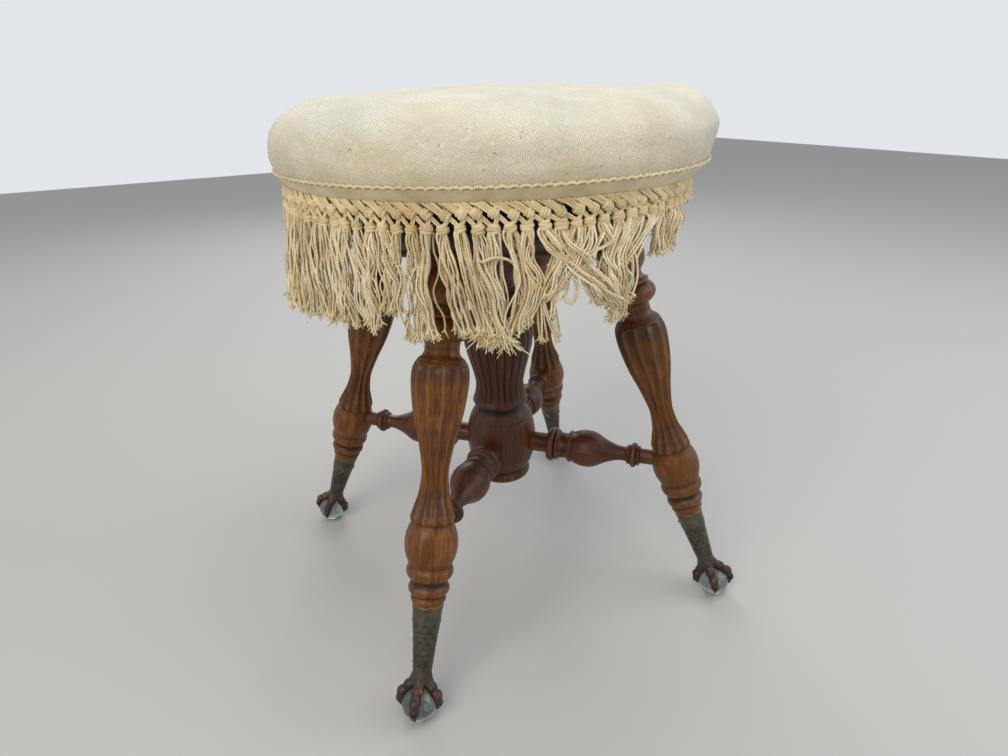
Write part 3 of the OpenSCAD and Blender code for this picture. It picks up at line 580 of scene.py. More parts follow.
def makeClawFeet():
    shankOutline = turnedOutline(claw["shankRows"], claw["length"], claw["shankRadius"])
    shank = turnBlank("shank", shankOutline, 64)
    setInPlace(shank, footFrame)
    bpy.ops.object.mode_set(mode="EDIT")
    bpy.ops.mesh.select_all(action="SELECT")
    square = legFrame.to_3x3() @ Vector((0, 0, 1))
    bpy.ops.mesh.bisect(plane_co=legFrame.translation, plane_no=square, use_fill=True, clear_outer=True)
    bpy.ops.object.mode_set(mode="OBJECT")
    ringed = [Vector((claw["collarRadius"] - inside * mm, -share * claw["collarHeight"]))
              for inside, share in claw["collarRows"]]
    collar = turnBlank("collar", ringed, 64)
    setInPlace(collar, legFrame)
    bpy.ops.mesh.primitive_uv_sphere_add(segments=32, ring_count=16, radius=claw["heelRadius"])
    heel = bpy.context.object
    setInPlace(heel, footFrame @ Matrix.Translation((0, 0, claw["length"] * claw["heelRise"])))
    toes = [makeToe("toe", turn) for turn in (0, 90, 180, 270)]
    pickUp(shank, collar, heel, *toes)
    bpy.ops.object.join()
    applyModifier(shank, "REMESH", mode="VOXEL", voxel_size=claw["voxel"])
    applyModifier(shank, "SMOOTH", factor=0.5, iterations=2)
    # the roots of the toes flow into the ankle
    ankle = shank.vertex_groups.new(name="ankle")
    toFoot = footFrame.inverted()
    for point in shank.data.vertices:
        rise = (toFoot @ point.co).z
        share = 1 - abs(rise - claw["ankleRise"]) / claw["ankleReach"]
        ankle.add([point.index], min(1, max(0, share) * 2), "REPLACE")
    applyModifier(shank, "SMOOTH", factor=0.5, iterations=60, vertex_group="ankle")
    chase(shank)
    feet = {}
    for side in sideTurns:
        foot = copyPiece(shank, "cast_claw_" + side, atSide(side))
        bpy.ops.object.shade_smooth()
        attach(foot, "base")
        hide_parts("claw_foot_" + side)
        feet[side] = foot
    dropPiece(shank)
    return feet


def chase(foot):
    # scales on the shank, scutes across the toes, and a seat that clears the ball;
    # hollow marks painted shade at the roots of the scales, in the scutes' valleys and where the toes lie on
    # the ball, and the talons' own black; toe runs from shank to talon
    toFoot = footFrame.inverted()
    hollows = foot.data.attributes.new("hollow", "FLOAT", "POINT")
    toes = foot.data.attributes.new("toe", "FLOAT", "POINT")
    for point, hollow, toe in zip(foot.data.vertices, hollows.data, toes.data):
        local = toFoot @ point.co
        fromTop = claw["scalesTo"] - local.z
        scaled = min(1, max(0, fromTop / (2 * mm)), max(0, (local.z - claw["scalesFrom"]) / (4 * mm)))
        if scaled > 0 and local.xy.length < claw["shankRadius"] + 2 * mm:
            turn = math.degrees(math.atan2(local.y, local.x)) % 360
            height = scaleHeight(turn, fromTop)
            local.xy *= 1 + height * scaled / local.xy.length
            point.co = footFrame @ local
            hollow.value = scaled * (1 - height / claw["scaleRise"])
        away = point.co - ballCentre
        polar = math.degrees(away.angle(Vector((-math.sin(claw["lean"]), 0, math.cos(claw["lean"])))))
        off = away.length - ballRadius
        lower = min(1, max(0, (claw["toeFrom"] - local.z) / claw["toeOver"]))
        onToe = min(1, max(0, (polar - claw["topPolar"]) / 18)) if off < claw["toeReach"] else 0
        toe.value = max(claw["shankShare"] * lower, onToe)
        if claw["scutesFrom"] < polar < claw["scutesTo"] and 2.5 * mm < off < claw["toeReach"]:
            ridge = abs(math.sin(math.pi * math.radians(polar) * ballRadius / claw["scute"])) ** 0.5
            point.co += away.normalized() * claw["scuteRise"] * (ridge - 0.6)
            hollow.value = max(hollow.value, 0.75 * (1 - ridge))
        if off < 9 * mm:
            # the talons are bare and black
            hollow.value = max(hollow.value, min(1, (polar - 80) / 7))
        # painted shade where the toes lie against the ball
        if off < 2 * mm and polar < 84:
            hollow.value = max(hollow.value, 1 - max(0, off) / (2 * mm))
        away = point.co - ballCentre
        if away.length < ballRadius + claw["ballGap"]:
            point.co = ballCentre + away.normalized() * (ballRadius + claw["ballGap"])


clawFeet = makeClawFeet()


# Glass balls, pressed in a mould of two halves that leaves a faint seam round each
glass = {"segments": 96, "gap": 0.02 * mm, "seamWidth": 0.5 * mm, "seamRise": 0.003, "unevenScale": 90,
         "uneven": 0.0008, "tip": 38, "turn": 57}


def makeGlassBalls():
    bpy.ops.object.select_all(action="DESELECT")
    bpy.ops.mesh.primitive_uv_sphere_add(segments=glass["segments"], ring_count=glass["segments"] // 2,
                                         radius=ballRadius - glass["gap"])
    blank = bpy.context.object
    for point in blank.data.vertices:
        seam = math.exp(-(point.co.z / glass["seamWidth"]) ** 2)
        uneven = noise.noise(point.co * glass["unevenScale"])
        point.co *= 1 + glass["seamRise"] * seam + glass["uneven"] * (uneven - 0.5)
    bpy.ops.object.shade_smooth()
    balls = {}
    for n, side in enumerate(sideTurns):
        spin = Matrix.Rotation(math.radians(glass["turn"] * n), 4, "Z")
        tip = Matrix.Rotation(math.radians(glass["tip"]), 4, "X") @ spin
        ball = copyPiece(blank, "pressed_ball_" + side, atSide(side) @ Matrix.Translation(ballCentre) @ tip)
        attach(ball, "base")
        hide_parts("glass_ball_" + side)
        balls[side] = ball
    dropPiece(blank)
    return balls


glassBalls = makeGlassBalls()

# Cushion: stuffed, crowned, drawn in under its widest place to the tape
print("cushion")
cushion = {"radius": 200.4 * mm, "widestRise": 13 * mm, "edgeShare": 0.2, "edgeRiseShare": 0.8,
           "edgeTurn": 76, "heldRise": 3 * mm, "freeRise": 14 * mm, "sideBulge": 0.09, "underBulge": 0.3,
           "underRise": 2 * mm, "ease": 0.8 * mm, "nearest": 6, "tapeLift": 0.1, "tapeBelly": 1.15,
           "coverThickness": 1.6 * mm, "turnUnder": 24 * mm, "tapeOut": 4.9 * mm, "tapeRise": 3 * mm,
           "tapeWidth": 14 * mm, "tapeSlope": 39.5, "tapeThickness": 1.2 * mm, "sides": 256,
           # the tape has slipped under a little at one side: direction, width, depth
           "tuckTurn": 332, "tuckWidth": 32, "tuck": 4.4 * mm,
           "voxel": 5.5 * mm, "frames": 18, "bulgeCap": 2.5 * mm, "slack": 1.4 * mm,
           "lumps": 1.5 * mm, "threadTurn": -7, "hairBelow": 5 * mm, "liningHole": 17.4 * mm,
           "liningSag": 0.35, "liningUneven": 0.3, "liningScale": 25,
           # the fuller stuffing starts at this share of the radius and this far below the widest
           "fullFrom": 0.68, "fullOver": 0.25, "fullBelow": 9 * mm, "fullRise": 18 * mm,
           # direction, width in degrees and height of where the stuffing is fuller or thinner
           "stuffing": [(334, 46, 9 * mm), (152, 40, 1.6 * mm)]}
# the cloth simulation's own settings
tightLinen = {"quality": 5, "mass": 0.35, "tension_stiffness": 25, "compression_stiffness": 25,
              "shear_stiffness": 8, "bending_stiffness": 1.5, "use_pressure": True,
              "uniform_pressure_force": 4}
boardRadius = (boardHigh.x - boardLow.x) / 2
tapeLowPoint = Vector((boardRadius + cushion["tapeOut"], boardLow.z + cushion["tapeRise"]))
tapeWay = Vector((math.sin(math.radians(cushion["tapeSlope"])), math.cos(math.radians(cushion["tapeSlope"]))))
tapeTopPoint = tapeLowPoint + tapeWay * cushion["tapeWidth"]


def tuckShare(turn):
    # 1 in the middle of the stretch where the tape has slipped under, 0 far from it
    away = (math.degrees(turn) - cushion["tuckTurn"] + 180) % 360 - 180
    return math.exp(-(away / cushion["tuckWidth"]) ** 2)


def tuckUnder(piece):
    # draws in what lies below the top of the tape, most at its low edge
    for point in piece.data.vertices:
        rise = (point.co.z - tapeLowPoint.y) / (tapeTopPoint.y - tapeLowPoint.y)
        if rise < 1 and point.co.xy.length > boardRadius + 1 * mm:
            share = tuckShare(math.atan2(point.co.y, point.co.x)) * min(1, 1 - rise)
            radius = point.co.xy.length
            point.co.xy *= max(radius - cushion["tuck"] * share, boardRadius + 0.6 * mm) / radius


def cushionSide():
    # outline from the tape's lower edge to the crown, as radius and height
    widest = boardHigh.z + cushion["widestRise"]
    edgeWidth = cushion["edgeShare"] * cushion["radius"]
    edgeRise = cushion["edgeRiseShare"] * (crownHeight - widest)
    side = [tapeLowPoint] + [tapeLowPoint.lerp(tapeTopPoint, k / 4) for k in range(1, 5)]
    side += arcTo(tapeTopPoint, Vector((cushion["radius"], widest)), cushion["sideBulge"], 6)
    turns = [math.radians(cushion["edgeTurn"] * k / 16) for k in range(1, 17)]
    side += [Vector((cushion["radius"] - edgeWidth * (1 - math.cos(t)), widest + edgeRise * math.sin(t)))
             for t in turns]
    rim = side[-1].copy()
    for k in range(1, 37):
        radius = rim.x * (1 - k / 36) if k < 36 else 0.5 * mm
        side.append(Vector((radius, crownHeight - (crownHeight - rim.y) * (radius / rim.x) ** 2)))
    return side


def makeCushion():
    side = cushionSide()
    under = boardLow.z - cushion["coverThickness"]
    turned = [Vector((boardRadius - cushion["turnUnder"], boardLow.z + cushion["underRise"])),
              Vector((boardRadius - cushion["turnUnder"], under)), Vector((boardRadius, under))]
    turned += arcTo(turned[-1], side[0], cushion["underBulge"], 6)
    outline = easeCorners(turned + side[1:], cushion["ease"])
    piece = turnBlank("stuffed_cushion", outline, cushion["sides"])
    mapCloth(piece, side)
    tuckUnder(piece)
    stuffUnevenly(piece)
    puffUp(piece)
    shadeSmooth(piece, 60)
    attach(piece, "seat")
    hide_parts("cushion_cover")
    return piece


def freeShare(place):
    # 0 where the tape holds the cloth, 1 where it is free to swell
    return min(1, max(0, (place.z - tapeTopPoint.y - cushion["heldRise"]) / cushion["freeRise"]))


def stuffUnevenly(piece):
    # horsehair packs unevenly, so the crown and its shoulder are not quite true
    widest = boardHigh.z + cushion["widestRise"]
    normals = [point.normal.copy() for point in piece.data.vertices]
    for point, normal in zip(piece.data.vertices, normals):
        free = freeShare(point.co)
        if free == 0:
            continue
        lift = noise.noise(point.co * 13) + 0.6 * noise.noise(point.co * 34 + Vector((3, 1, 2)))
        push = lift * cushion["lumps"] - cushion["slack"] * max(0, normal.z) ** 2
        turn = math.degrees(math.atan2(point.co.y, point.co.x)) % 360
        share = point.co.xy.length / cushion["radius"]
        out = min(1, max(0, (share - cushion["fullFrom"]) / cushion["fullOver"]))
        high = min(1, max(0, (point.co.z - widest + cushion["fullBelow"]) / cushion["fullRise"]))
        for direction, width, height in cushion["stuffing"]:
            push += height * out * high * math.exp(-((turn - direction) / width) ** 2)
        point.co += normal * push * free


def puffUp(piece):
    # a copy of the cover is blown up as cloth, held at the tape, and the cover
    # takes on what the cloth did
    form = copyPiece(piece, "cover_form", Matrix.Identity(4))
    applyModifier(form, "REMESH", mode="VOXEL", voxel_size=cushion["voxel"])
    rest = [point.co.copy() for point in form.data.vertices]
    held = form.vertex_groups.new(name="held")
    for point in form.data.vertices:
        held.add([point.index], 1 - freeShare(point.co), "REPLACE")
    pickUp(form)
    bpy.ops.object.modifier_add(type="CLOTH")
    cloth = form.modifiers[-1]
    cloth.settings.vertex_group_mass = "held"
    for name, value in tightLinen.items():
        setattr(cloth.settings, name, value)
    cloth.settings.effector_weights.gravity = 0
    cloth.point_cache.frame_start = 1
    cloth.point_cache.frame_end = cushion["frames"]
    for moment in range(1, cushion["frames"] + 1):
        bpy.context.scene.frame_set(moment)
    bpy.ops.object.modifier_apply(modifier=cloth.name)
    bpy.context.scene.frame_set(1)
    tree = KDTree(len(rest))
    for index, place in enumerate(rest):
        tree.insert(place, index)
    tree.balance()
    moves = []
    for point, place in zip(form.data.vertices, rest):
        move = point.co - place
        moves.append(move * min(1, cushion["bulgeCap"] / max(move.length, 1e-9)))
    for point in piece.data.vertices:
        free = freeShare(point.co)
        if free > 0:
            near = tree.find_n(point.co, cushion["nearest"])
            shares = [1 / (away + 1 * mm) for place, index, away in near]
            move = sum((moves[index] * share for (place, index, away), share in zip(near, shares)), Vector())
            point.co += move / sum(shares) * free
    moved = [move.length / mm for move in moves]
    print(f"cover swells by {sum(moved) / len(moved):.2f} mm on the whole and {max(moved):.2f} mm at most")
    dropPiece(form)


def mapCloth(piece, side):
    # the cloth's own threads: distance from the crown along the surface, kept in
    # the direction it runs from the crown, as a flat cloth drawn over a cushion
    run = [0]
    flow = side[::-1]
    for a, b in zip(flow, flow[1:]):
        run.append(run[-1] + (b - a).length)
    layer = threadLayer(piece)
    turn = Matrix.Rotation(math.radians(cushion["threadTurn"]), 2)
    spread = {}
    reach = {}
    for point in piece.data.vertices:
        radius, height = point.co.xy.length, point.co.z
        key = (round(radius, 5), round(height, 5))
        if key not in reach:
            near = min(range(len(flow)), key=lambda k: (flow[k].x - radius) ** 2 + (flow[k].y - height) ** 2)
            reach[key] = run[near] + (Vector(key) - flow[near]).length
        away = point.co.xy.normalized() if radius > 1e-6 else Vector((0, 0))
        spread[point.index] = turn @ (away * reach[key])
    for loop in piece.data.loops:
        layer.data[loop.index].uv = spread[loop.vertex_index]


def makeStuffing(cover):
    # the horsehair under the cloth, flat on the seat board
    piece = copyPiece(cover, "hair_stuffing", Matrix.Identity(4))
    for point in piece.data.vertices:
        point.co.xy *= 1 - cushion["hairBelow"] / cushion["radius"]
        point.co.z = max(boardHigh.z + 0.3 * mm, point.co.z - cushion["hairBelow"])
    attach(piece, "seat")
    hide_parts("seat_padding")
    return piece


def makeLining():
    # thin black cloth tacked under the board, with a hole for the seat iron's hub
    low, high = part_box("bottom_lining")
    radius = (high.x - low.x) / 2
    hole = cushion["liningHole"]
    rings = [Vector((hole + (radius - hole) * step / 12, (low.z + high.z) / 2)) for step in range(13)]
    piece = drawRings("bottom_cloth", rings, 96, "NOTHING")
    bpy.ops.object.mode_set(mode="OBJECT")
    for point in piece.data.vertices:
        # it hangs a little slack between its tacks
        share = (point.co.xy.length - hole) / (radius - hole)
        sag = math.sin(math.pi * min(1, max(0, share)))
        uneven = cushion["liningUneven"] * noise.noise(point.co * cushion["liningScale"])
        point.co.z -= sag * (cushion["liningSag"] + uneven) * mm
    shadeSmooth(piece, 60)
    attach(piece, "seat")
    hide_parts("bottom_lining")
    return piece


stuffedCushion = makeCushion()
hairStuffing = makeStuffing(stuffedCushion)
bottomCloth = makeLining()

# Tape, its corded edge, the knotted heading and the tassels
print("tape and edging")
fringe = {"drops": 100, "circle": 190.3 * mm, "tuck": 12 * mm, "edgingRadius": 0.75 * mm, "scallops": 154,
          "scallopRise": 1.3 * mm, "perScallop": 10, "plyTurn": 3.4 * mm, "edgingOut": 1.3 * mm,
          "edgingUp": 0.2 * mm, "flapRise": 1.4 * mm, "ropeRadius": 1.0, "strandRadius": 0.8, "strands": 18,
          "firstKnotDrop": 6 * mm, "secondKnotDrop": 16.6 * mm, "firstKnotShift": 0.06,
          # where the lower knots sit higher: direction, width, rise
          "raisedTurn": 288, "raisedWidth": 34, "raised": 2.4 * mm, "seed": 7}


def ringPoint(turn, radius, height):
    return Vector((radius * math.cos(turn), radius * math.sin(turn), height))


def makeTape():
    # drawn round the seat through the corners of its section, then joined up
    skin = Vector((tapeWay.y, -tapeWay.x)) * cushion["tapeThickness"]
    low, high = tapeLowPoint + skin * cushion["tapeLift"], tapeTopPoint + skin * cushion["tapeLift"]
    belly = skin * cushion["tapeBelly"]
    corners = [low, low + skin, low.lerp(high, 0.35) + belly, low.lerp(high, 0.7) + belly, high + skin, high]
    piece = drawRings("woven_tape", corners, 300, "NOTHING")
    bpy.ops.mesh.select_non_manifold()
    bpy.ops.mesh.bridge_edge_loops()
    turnOutward()
    layer = threadLayer(piece)
    for face in piece.data.polygons:
        middle = math.atan2(face.center.y, face.center.x)
        for loop in face.loop_indices:
            place = piece.data.vertices[piece.data.loops[loop].vertex_index].co
            turn = math.atan2(place.y, place.x)
            turn += 2 * math.pi * round((middle - turn) / (2 * math.pi))
            layer.data[loop].uv = (turn * low.x, (Vector((place.xy.length, place.z)) - low).length)
    tuckUnder(piece)
    shadeSmooth(piece, 50)
    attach(piece, "seat")
    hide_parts("fringe_tape")
    return piece


def makeEdging():
    # two plies twisted together, laid in small scallops along the tape's top
    base = tapeTopPoint + Vector((fringe["edgingOut"], fringe["edgingUp"]))
    length = 2 * math.pi * base.x
    count = fringe["scallops"] * fringe["perScallop"]
    twists = round(length / fringe["plyTurn"])
    plies = []
    for ply in (0, math.pi):
        strand = []
        for n in range(count):
            turn = 2 * math.pi * n / count
            arch = abs(math.sin(math.pi * n / fringe["perScallop"])) ** 0.7
            lay = twists * turn + ply
            swing = fringe["edgingRadius"] * 0.75
            radius = base.x + 0.35 * arch * mm + swing * math.cos(lay)
            height = base.y + fringe["scallopRise"] * (arch - 0.3) + swing * math.sin(lay)
            share = 1 + 0.12 * noise.noise(Vector((n * 0.3, ply, 0)))
            strand.append((ringPoint(turn, radius, height), share))
        plies.append(strand)
    piece = drawCords("corded_edging", plies, fringe["edgingRadius"], sides=6, closed=True)
    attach(piece, "seat")
    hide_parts("fringe_edging")
    return piece


wovenTape = makeTape()
cordedEdging = makeEdging()

print("fringe")
pitch = 2 * math.pi / fringe["drops"]


def knotPlace(drop, row):
    # the knots of a hand-tied heading sit a little unevenly
    drift = random.Random(fringe["seed"] * 1000 + drop * 2 + row)
    fall = fringe["firstKnotDrop"] if row == 0 else fringe["secondKnotDrop"]
    shift = fringe["firstKnotShift"] if row == 0 else 0
    turn = drop * pitch + (drift.uniform(-0.1, 0.1) + shift) * pitch
    if row == 1:
        away = math.degrees(turn) - fringe["raisedTurn"]
        fall -= fringe["raised"] * math.exp(-(away / fringe["raisedWidth"]) ** 2)
    height = headingTop - fall + drift.uniform(-0.9, 0.7) * mm
    radius = fringe["circle"] - fringe["tuck"] * tuckShare(turn) + drift.uniform(-0.5, 0.5) * mm
    return turn, radius, height


def around(turn, radius, height, across, up, out):
    # a place beside a knot, in mm: across goes round the seat, out away from it
    return ringPoint(turn + across * mm / fringe["circle"], radius + out * mm, height + up * mm)


def windCord(knot, lean, level, wide, deep, thick, phase):
    # one turn of cord round a knot, in mm; lean is how far its axis is from upright
    loop = []
    for k in range(12):
        a = 2 * math.pi * k / 12 + phase
        side = wide * math.cos(a)
        loop.append((around(*knot, side * math.cos(lean) + level * math.sin(lean),
                            level * math.cos(lean) - side * math.sin(lean), deep * math.sin(a)), thick))
    return loop


# The heading in mm. Its three flap cords pass these places beside their knot: across and
# its change from cord to cord, up and its change, out, and share of the bow. Its pairs of
# leg cords do so too: across and its change, up and its change, out. A knot's core is
# (across, up, thickness) and the turns round it are (level, width, depth)
knotting = {"flap": [(-8.7, 2.4, 6.2, 0.7, 1.1, 1), (-3.8, 1.3, 2.7, 1.1, 1.9, 1),
                     (0.4, 1, -0.2, 1.4, 1.7, 0), (2.8, 0.6, -2.4, 0.7, 0.6, 0)],
            "flapStart": 1.07, "flapStep": 0.28, "legOut": 1.1, "legThin": 0.95,
            "legDown": [(2.2, 1.4, -2.2, 0, -0.2), (2.0, 1.5, 0, 0, 0.5), (1.2, 1.5, 2.4, 0, 0)],
            "legAcross": [(3.0, 1, -1.9, 1.1, -0.6), (1.1, 0.9, 0, 1.3, 0.1), (-1.9, 1.2, 2.6, 0.6, -0.1)],
            "upperCore": [(-1.8, 1.1, 2.5), (0, 0, 3.2), (2.2, -1.3, 2.5)],
            "lowerCore": [(0, 2.6, 2.3), (0, 0, 3.2), (0, -2.6, 2.7)],
            "upperTurns": [(-2.2, 2.3, 2.5), (0.1, 3.0, 3.1), (2.2, 2.4, 2.6)], "upperCord": 1.55,
            "lowerTurns": [(2.1, 2.6, 2.9), (0.1, 3.6, 2.9), (-2.0, 3.1, 2.9)], "lowerCord": 1.7,
            # the lean in degrees and the size of a knot, from and to
            "upperLean": (100, 128), "upperSize": (0.9, 1.1), "lowerLean": (-18, 12),
            "lowerSize": (0.88, 1.1)}


def drawFlap(draw, first, lift, top):
    # it leaves the tape almost level and bends down into the upper knot
    before = knotting["flapStart"] - knotting["flapStep"] * lift + draw.uniform(-0.03, 0.03)
    start = first[0] - pitch * before
    begin = ringPoint(start, top.x - cushion["tuck"] * tuckShare(start), top.y + 0.2 * mm)
    bow = draw.uniform(0, 0.4)
    return [begin] + [around(*first, across + besides * lift, up + above * lift, out + bow * share)
                      for across, besides, up, above, out, share in knotting["flap"]]


def drawLegs(draw, first, second, following, n):
    # one cord falls to the knot below, the other crosses to the next
    out = knotting["legOut"] + draw.uniform(-0.3, 0.3)
    ways = []
    for rows, end in ((knotting["legDown"], second), (knotting["legAcross"], following)):
        halfway = ((first[0] + end[0]) / 2, first[1], (first[2] + end[2]) / 2)
        ways.append([around(*knot, across + besides * n, up + above * n, out + off)
                     for knot, (across, besides, up, above, off) in zip((first, halfway, end), rows)])
    return ways


def windKnot(draw, knot, row):
    # three turns of cord; the upper knot's stay their own distance apart
    lean = math.radians(draw.uniform(*knotting[row + "Lean"]))
    size = draw.uniform(*knotting[row + "Size"])
    apart = size if row == "lower" else 1
    thick = knotting[row + "Cord"] * size
    return [windCord(knot, lean + draw.uniform(-0.2, 0.2), level * apart, wide * size, deep * size, thick,
                     draw.uniform(0, 6)) for level, wide, deep in knotting[row + "Turns"]]


def makeHeading():
    draw = random.Random(fringe["seed"])
    cords, wraps = [], []
    thick = fringe["ropeRadius"]
    skin = Vector((tapeWay.y, -tapeWay.x)) * (cushion["tapeThickness"] + 0.5 * mm)
    top = tapeLowPoint + tapeWay * fringe["flapRise"] + skin
    for drop in range(fringe["drops"]):
        first, second = knotPlace(drop, 0), knotPlace(drop, 1)
        turn, radius, height = knotPlace((drop + 1) % fringe["drops"], 1)
        following = (turn + (2 * math.pi if drop == fringe["drops"] - 1 else 0), radius, height)
        for lift in (-1, 0, 1):
            way = drawFlap(draw, first, lift, top)
            cords.append([(place, thick) for place in smoothThrough(way, 2)])
        for n in (-0.55, 0.55):
            for way in drawLegs(draw, first, second, following, n):
                cords.append([(place, thick * knotting["legThin"]) for place in smoothThrough(way, 2)])
        for knot, row in ((first, "upper"), (second, "lower")):
            core = knotting[row + "Core"]
            cords.append([(around(*knot, across, up, 0), share) for across, up, share in core])
            wraps += windKnot(draw, knot, row)
    heading = drawCords("fringe_heading", cords, 1 * mm, sides=6)
    knots = drawCords("fringe_wraps", wraps, 1 * mm, sides=8, closed=True)
    pickUp(heading, knots)
    bpy.ops.object.join()
    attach(heading, "seat")
    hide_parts("fringe_knots")
    return heading


# Ways of the tassels that are swept, tangled or short: places below the knot in
# mm, as (round the seat, down, out)
tangled = {
    50: [(-4, 25, 4), (-8, 50, 8), (-9, 78, 10)], 51: [(-4, 26, 4), (-9, 52, 7), (-8, 79, 9)],
    52: [(-2, 26, 2), (-6, 50, 5), (-9, 76, 8)], 53: [(3, 24, 3), (-3, 50, 5), (-8, 79, 6)],
    54: [(-3, 26, 2), (-1, 50, 4), (-5, 78, 5)], 55: [(-4, 28, 2), (-3, 54, 5), (2, 74, 3)],
    56: [(2, 26, 3), (4, 50, 3), (-1, 77, 2)], 57: [(4, 24, 4), (7, 46, 4), (4, 72, 5)],
    58: [(-4, 24, 3), (-7, 48, 4), (-2, 78, 2)], 59: [(3, 24, 3), (7, 46, 5), (9, 76, 4)],
    60: [(1, 24, 3), (-3, 44, 4), (-2, 66, 3)], 61: [(4, 22, 4), (8, 40, 5), (3, 60, 3)],
    62: [(-2, 22, 4), (-6, 42, 6), (-8, 60, 3)], 63: [(1, 24, 2), (-1, 50, 4), (-3, 80, 4)],
    64: [(-2, 24, 3), (-5, 48, 4), (-2, 78, 3)], 65: [(3, 24, 3), (8, 46, 5), (13, 76, 3)],
    66: [(4, 26, 4), (10, 48, 5), (15, 74, 5)], 67: [(2, 26, 3), (7, 50, 6), (12, 79, 6)],
    68: [(-1, 28, 2), (2, 52, 3), (-2, 80, 4)], 69: [(5, 24, 4), (8, 46, 6), (1, 74, 5)],
    70: [(-2, 22, 4), (5, 42, 6), (-6, 68, 5)], 71: [(5, 14, 6), (16, 27, 9), (32, 44, 10), (42, 60, 7)],
    72: [(4, 15, 6), (14, 28, 9), (31, 44, 9), (45, 59, 7)], 73: [(-6, 18, 6), (-14, 32, 8), (-20, 46, 6)],
    74: [(-8, 20, 7), (-20, 36, 8), (-33, 50, 5)], 75: [(4, 24, 4), (12, 46, 6), (12, 76, 3)],
    76: [(-6, 14, 5), (-13, 30, 8), (-9, 48, 8), (-3, 68, 4)],
    77: [(-8, 14, 5), (-16, 30, 8), (-13, 46, 8), (-8, 64, 4)], 78: [(-6, 9, 4), (-18, 20, 7), (-30, 36, 6)],
    79: [(-5, 8, 4), (-18, 18, 7), (-31, 30, 6)], 80: [(-3, 12, 3), (-4, 22, 3), (-1, 34, 2)],
    81: [(-3, 10, 3), (-5, 20, 3), (-6, 33, 1)], 82: [(2, 12, 3), (-2, 22, 3), (-3, 33, 1)],
    21: [(5, 24, 3), (12, 48, 5), (18, 70, 4)], 22: [(-4, 26, 3), (-10, 50, 5), (-12, 76, 2)],
    34: [(4, 26, 4), (10, 50, 5), (16, 72, 3)], 8: [(-3, 26, 2), (-9, 50, 4), (-12, 77, 2)]}

# Tassels that are worn short and lie in under the seat, and how far they hang in mm
wornShort = dict(zip(range(83, 100), (27, 22, 18, 15, 15, 17, 20, 22, 24, 26, 27, 28, 30, 31, 33, 36, 40)))
wornShort.update({0: 44, 1: 48, 2: 53, 3: 60, 4: 68})

# Single strands that stand away from the rest, from the knot of one drop
loose = [(67, [(0, 3, 3), (-1, 14, 5), (2, 23, 6), (11, 20, 7), (21, 22, 7), (28, 31, 5), (30, 40, 4)]),
         (70, [(0, 3, 3), (4, 16, 6), (1, 30, 6), (5, 42, 7), (-3, 60, 7), (-11, 71, 5)]),
         (72, [(0, 4, 2), (-8, 26, 2), (-16, 50, 3), (-13, 66, 4), (-8, 80, 4)]),
         (72, [(0, 4, 2), (-6, 28, 2), (-13, 50, 3), (-12, 68, 4), (-11, 82, 4)]),
         (72, [(0, 4, 1), (-7, 26, 1), (-15, 52, 2), (-15, 68, 3), (-13, 81, 3)]),
         (72, [(1, 4, 3), (7, 32, 8), (10, 48, 9), (7, 57, 8), (2, 53, 7), (3, 40, 7), (-2, 20, 5)]),
         (55, [(0, 4, 3), (-8, 24, 6), (-3, 44, 7), (4, 58, 6), (-2, 72, 6)]),
         (58, [(0, 4, 3), (7, 22, 6), (12, 40, 7), (9, 62, 6), (15, 74, 5)]),
         (61, [(0, 3, 3), (9, 18, 5), (17, 36, 6), (13, 56, 7), (18, 78, 5)]),
         (75, [(0, 4, 3), (-13, 20, 7), (-30, 30, 8), (-42, 46, 7), (-44, 62, 6)]),
         (76, [(0, 3, 3), (-9, 16, 7), (-26, 22, 9), (-40, 34, 8), (-48, 52, 7)]),
         (77, [(0, 3, 3), (-12, 14, 7), (-22, 30, 9), (-18, 48, 8), (-30, 60, 6)]),
         (76, [(1, 3, 3), (3, 14, 6), (9, 30, 8), (11, 46, 8), (8, 60, 6)]),
         (53, [(0, 4, 3), (-9, 30, 7), (-15, 52, 9), (-13, 74, 10)])]


# A tassel in mm: the girth at its neck, how much it swells and flares below, and how its
# strands bunch, wave, stray and crimp
tassel = {"neck": 1.9, "swell": 2.4, "flare": 0.5, "wide": 1.15, "deep": 0.75, "clumps": 5, "innerStrands": 4,
          "innerShare": 0.5, "stray": 0.14, "crimp": 0.35, "fibres": 7, "looseTogether": 3,
          # drops that are fuller, curlier and fluffed out at their ends
          "fullDrops": range(40, 53), "fuller": 0.12, "curlyDrops": range(70, 81), "fluffedDrops": (67, 68)}


def hangTassel(draw, drop):
    # the way of its middle below the knot, as (round the seat, down, out)
    sway, out = draw.gauss(0, 3), draw.gauss(1.5, 1.5)
    length = (tasselsHigh.z - tasselsLow.z) / mm
    reach = wornShort.get(drop, length) - 2 - abs(draw.gauss(0, 3))
    inward = max(0, 1 - reach / 60)
    sway *= 1 - inward
    plain = [(draw.gauss(0, 2), reach * 0.33, out - 6 * inward),
             (sway + draw.gauss(0, 2.4), reach * 0.67, out + draw.gauss(0, 1) - 14 * inward),
             (sway, reach, out * 0.6 - 22 * inward)]
    return smoothThrough([Vector(row) for row in [(0, 1, 0), (0, 5, 1), *tangled.get(drop, plain)]], 8)


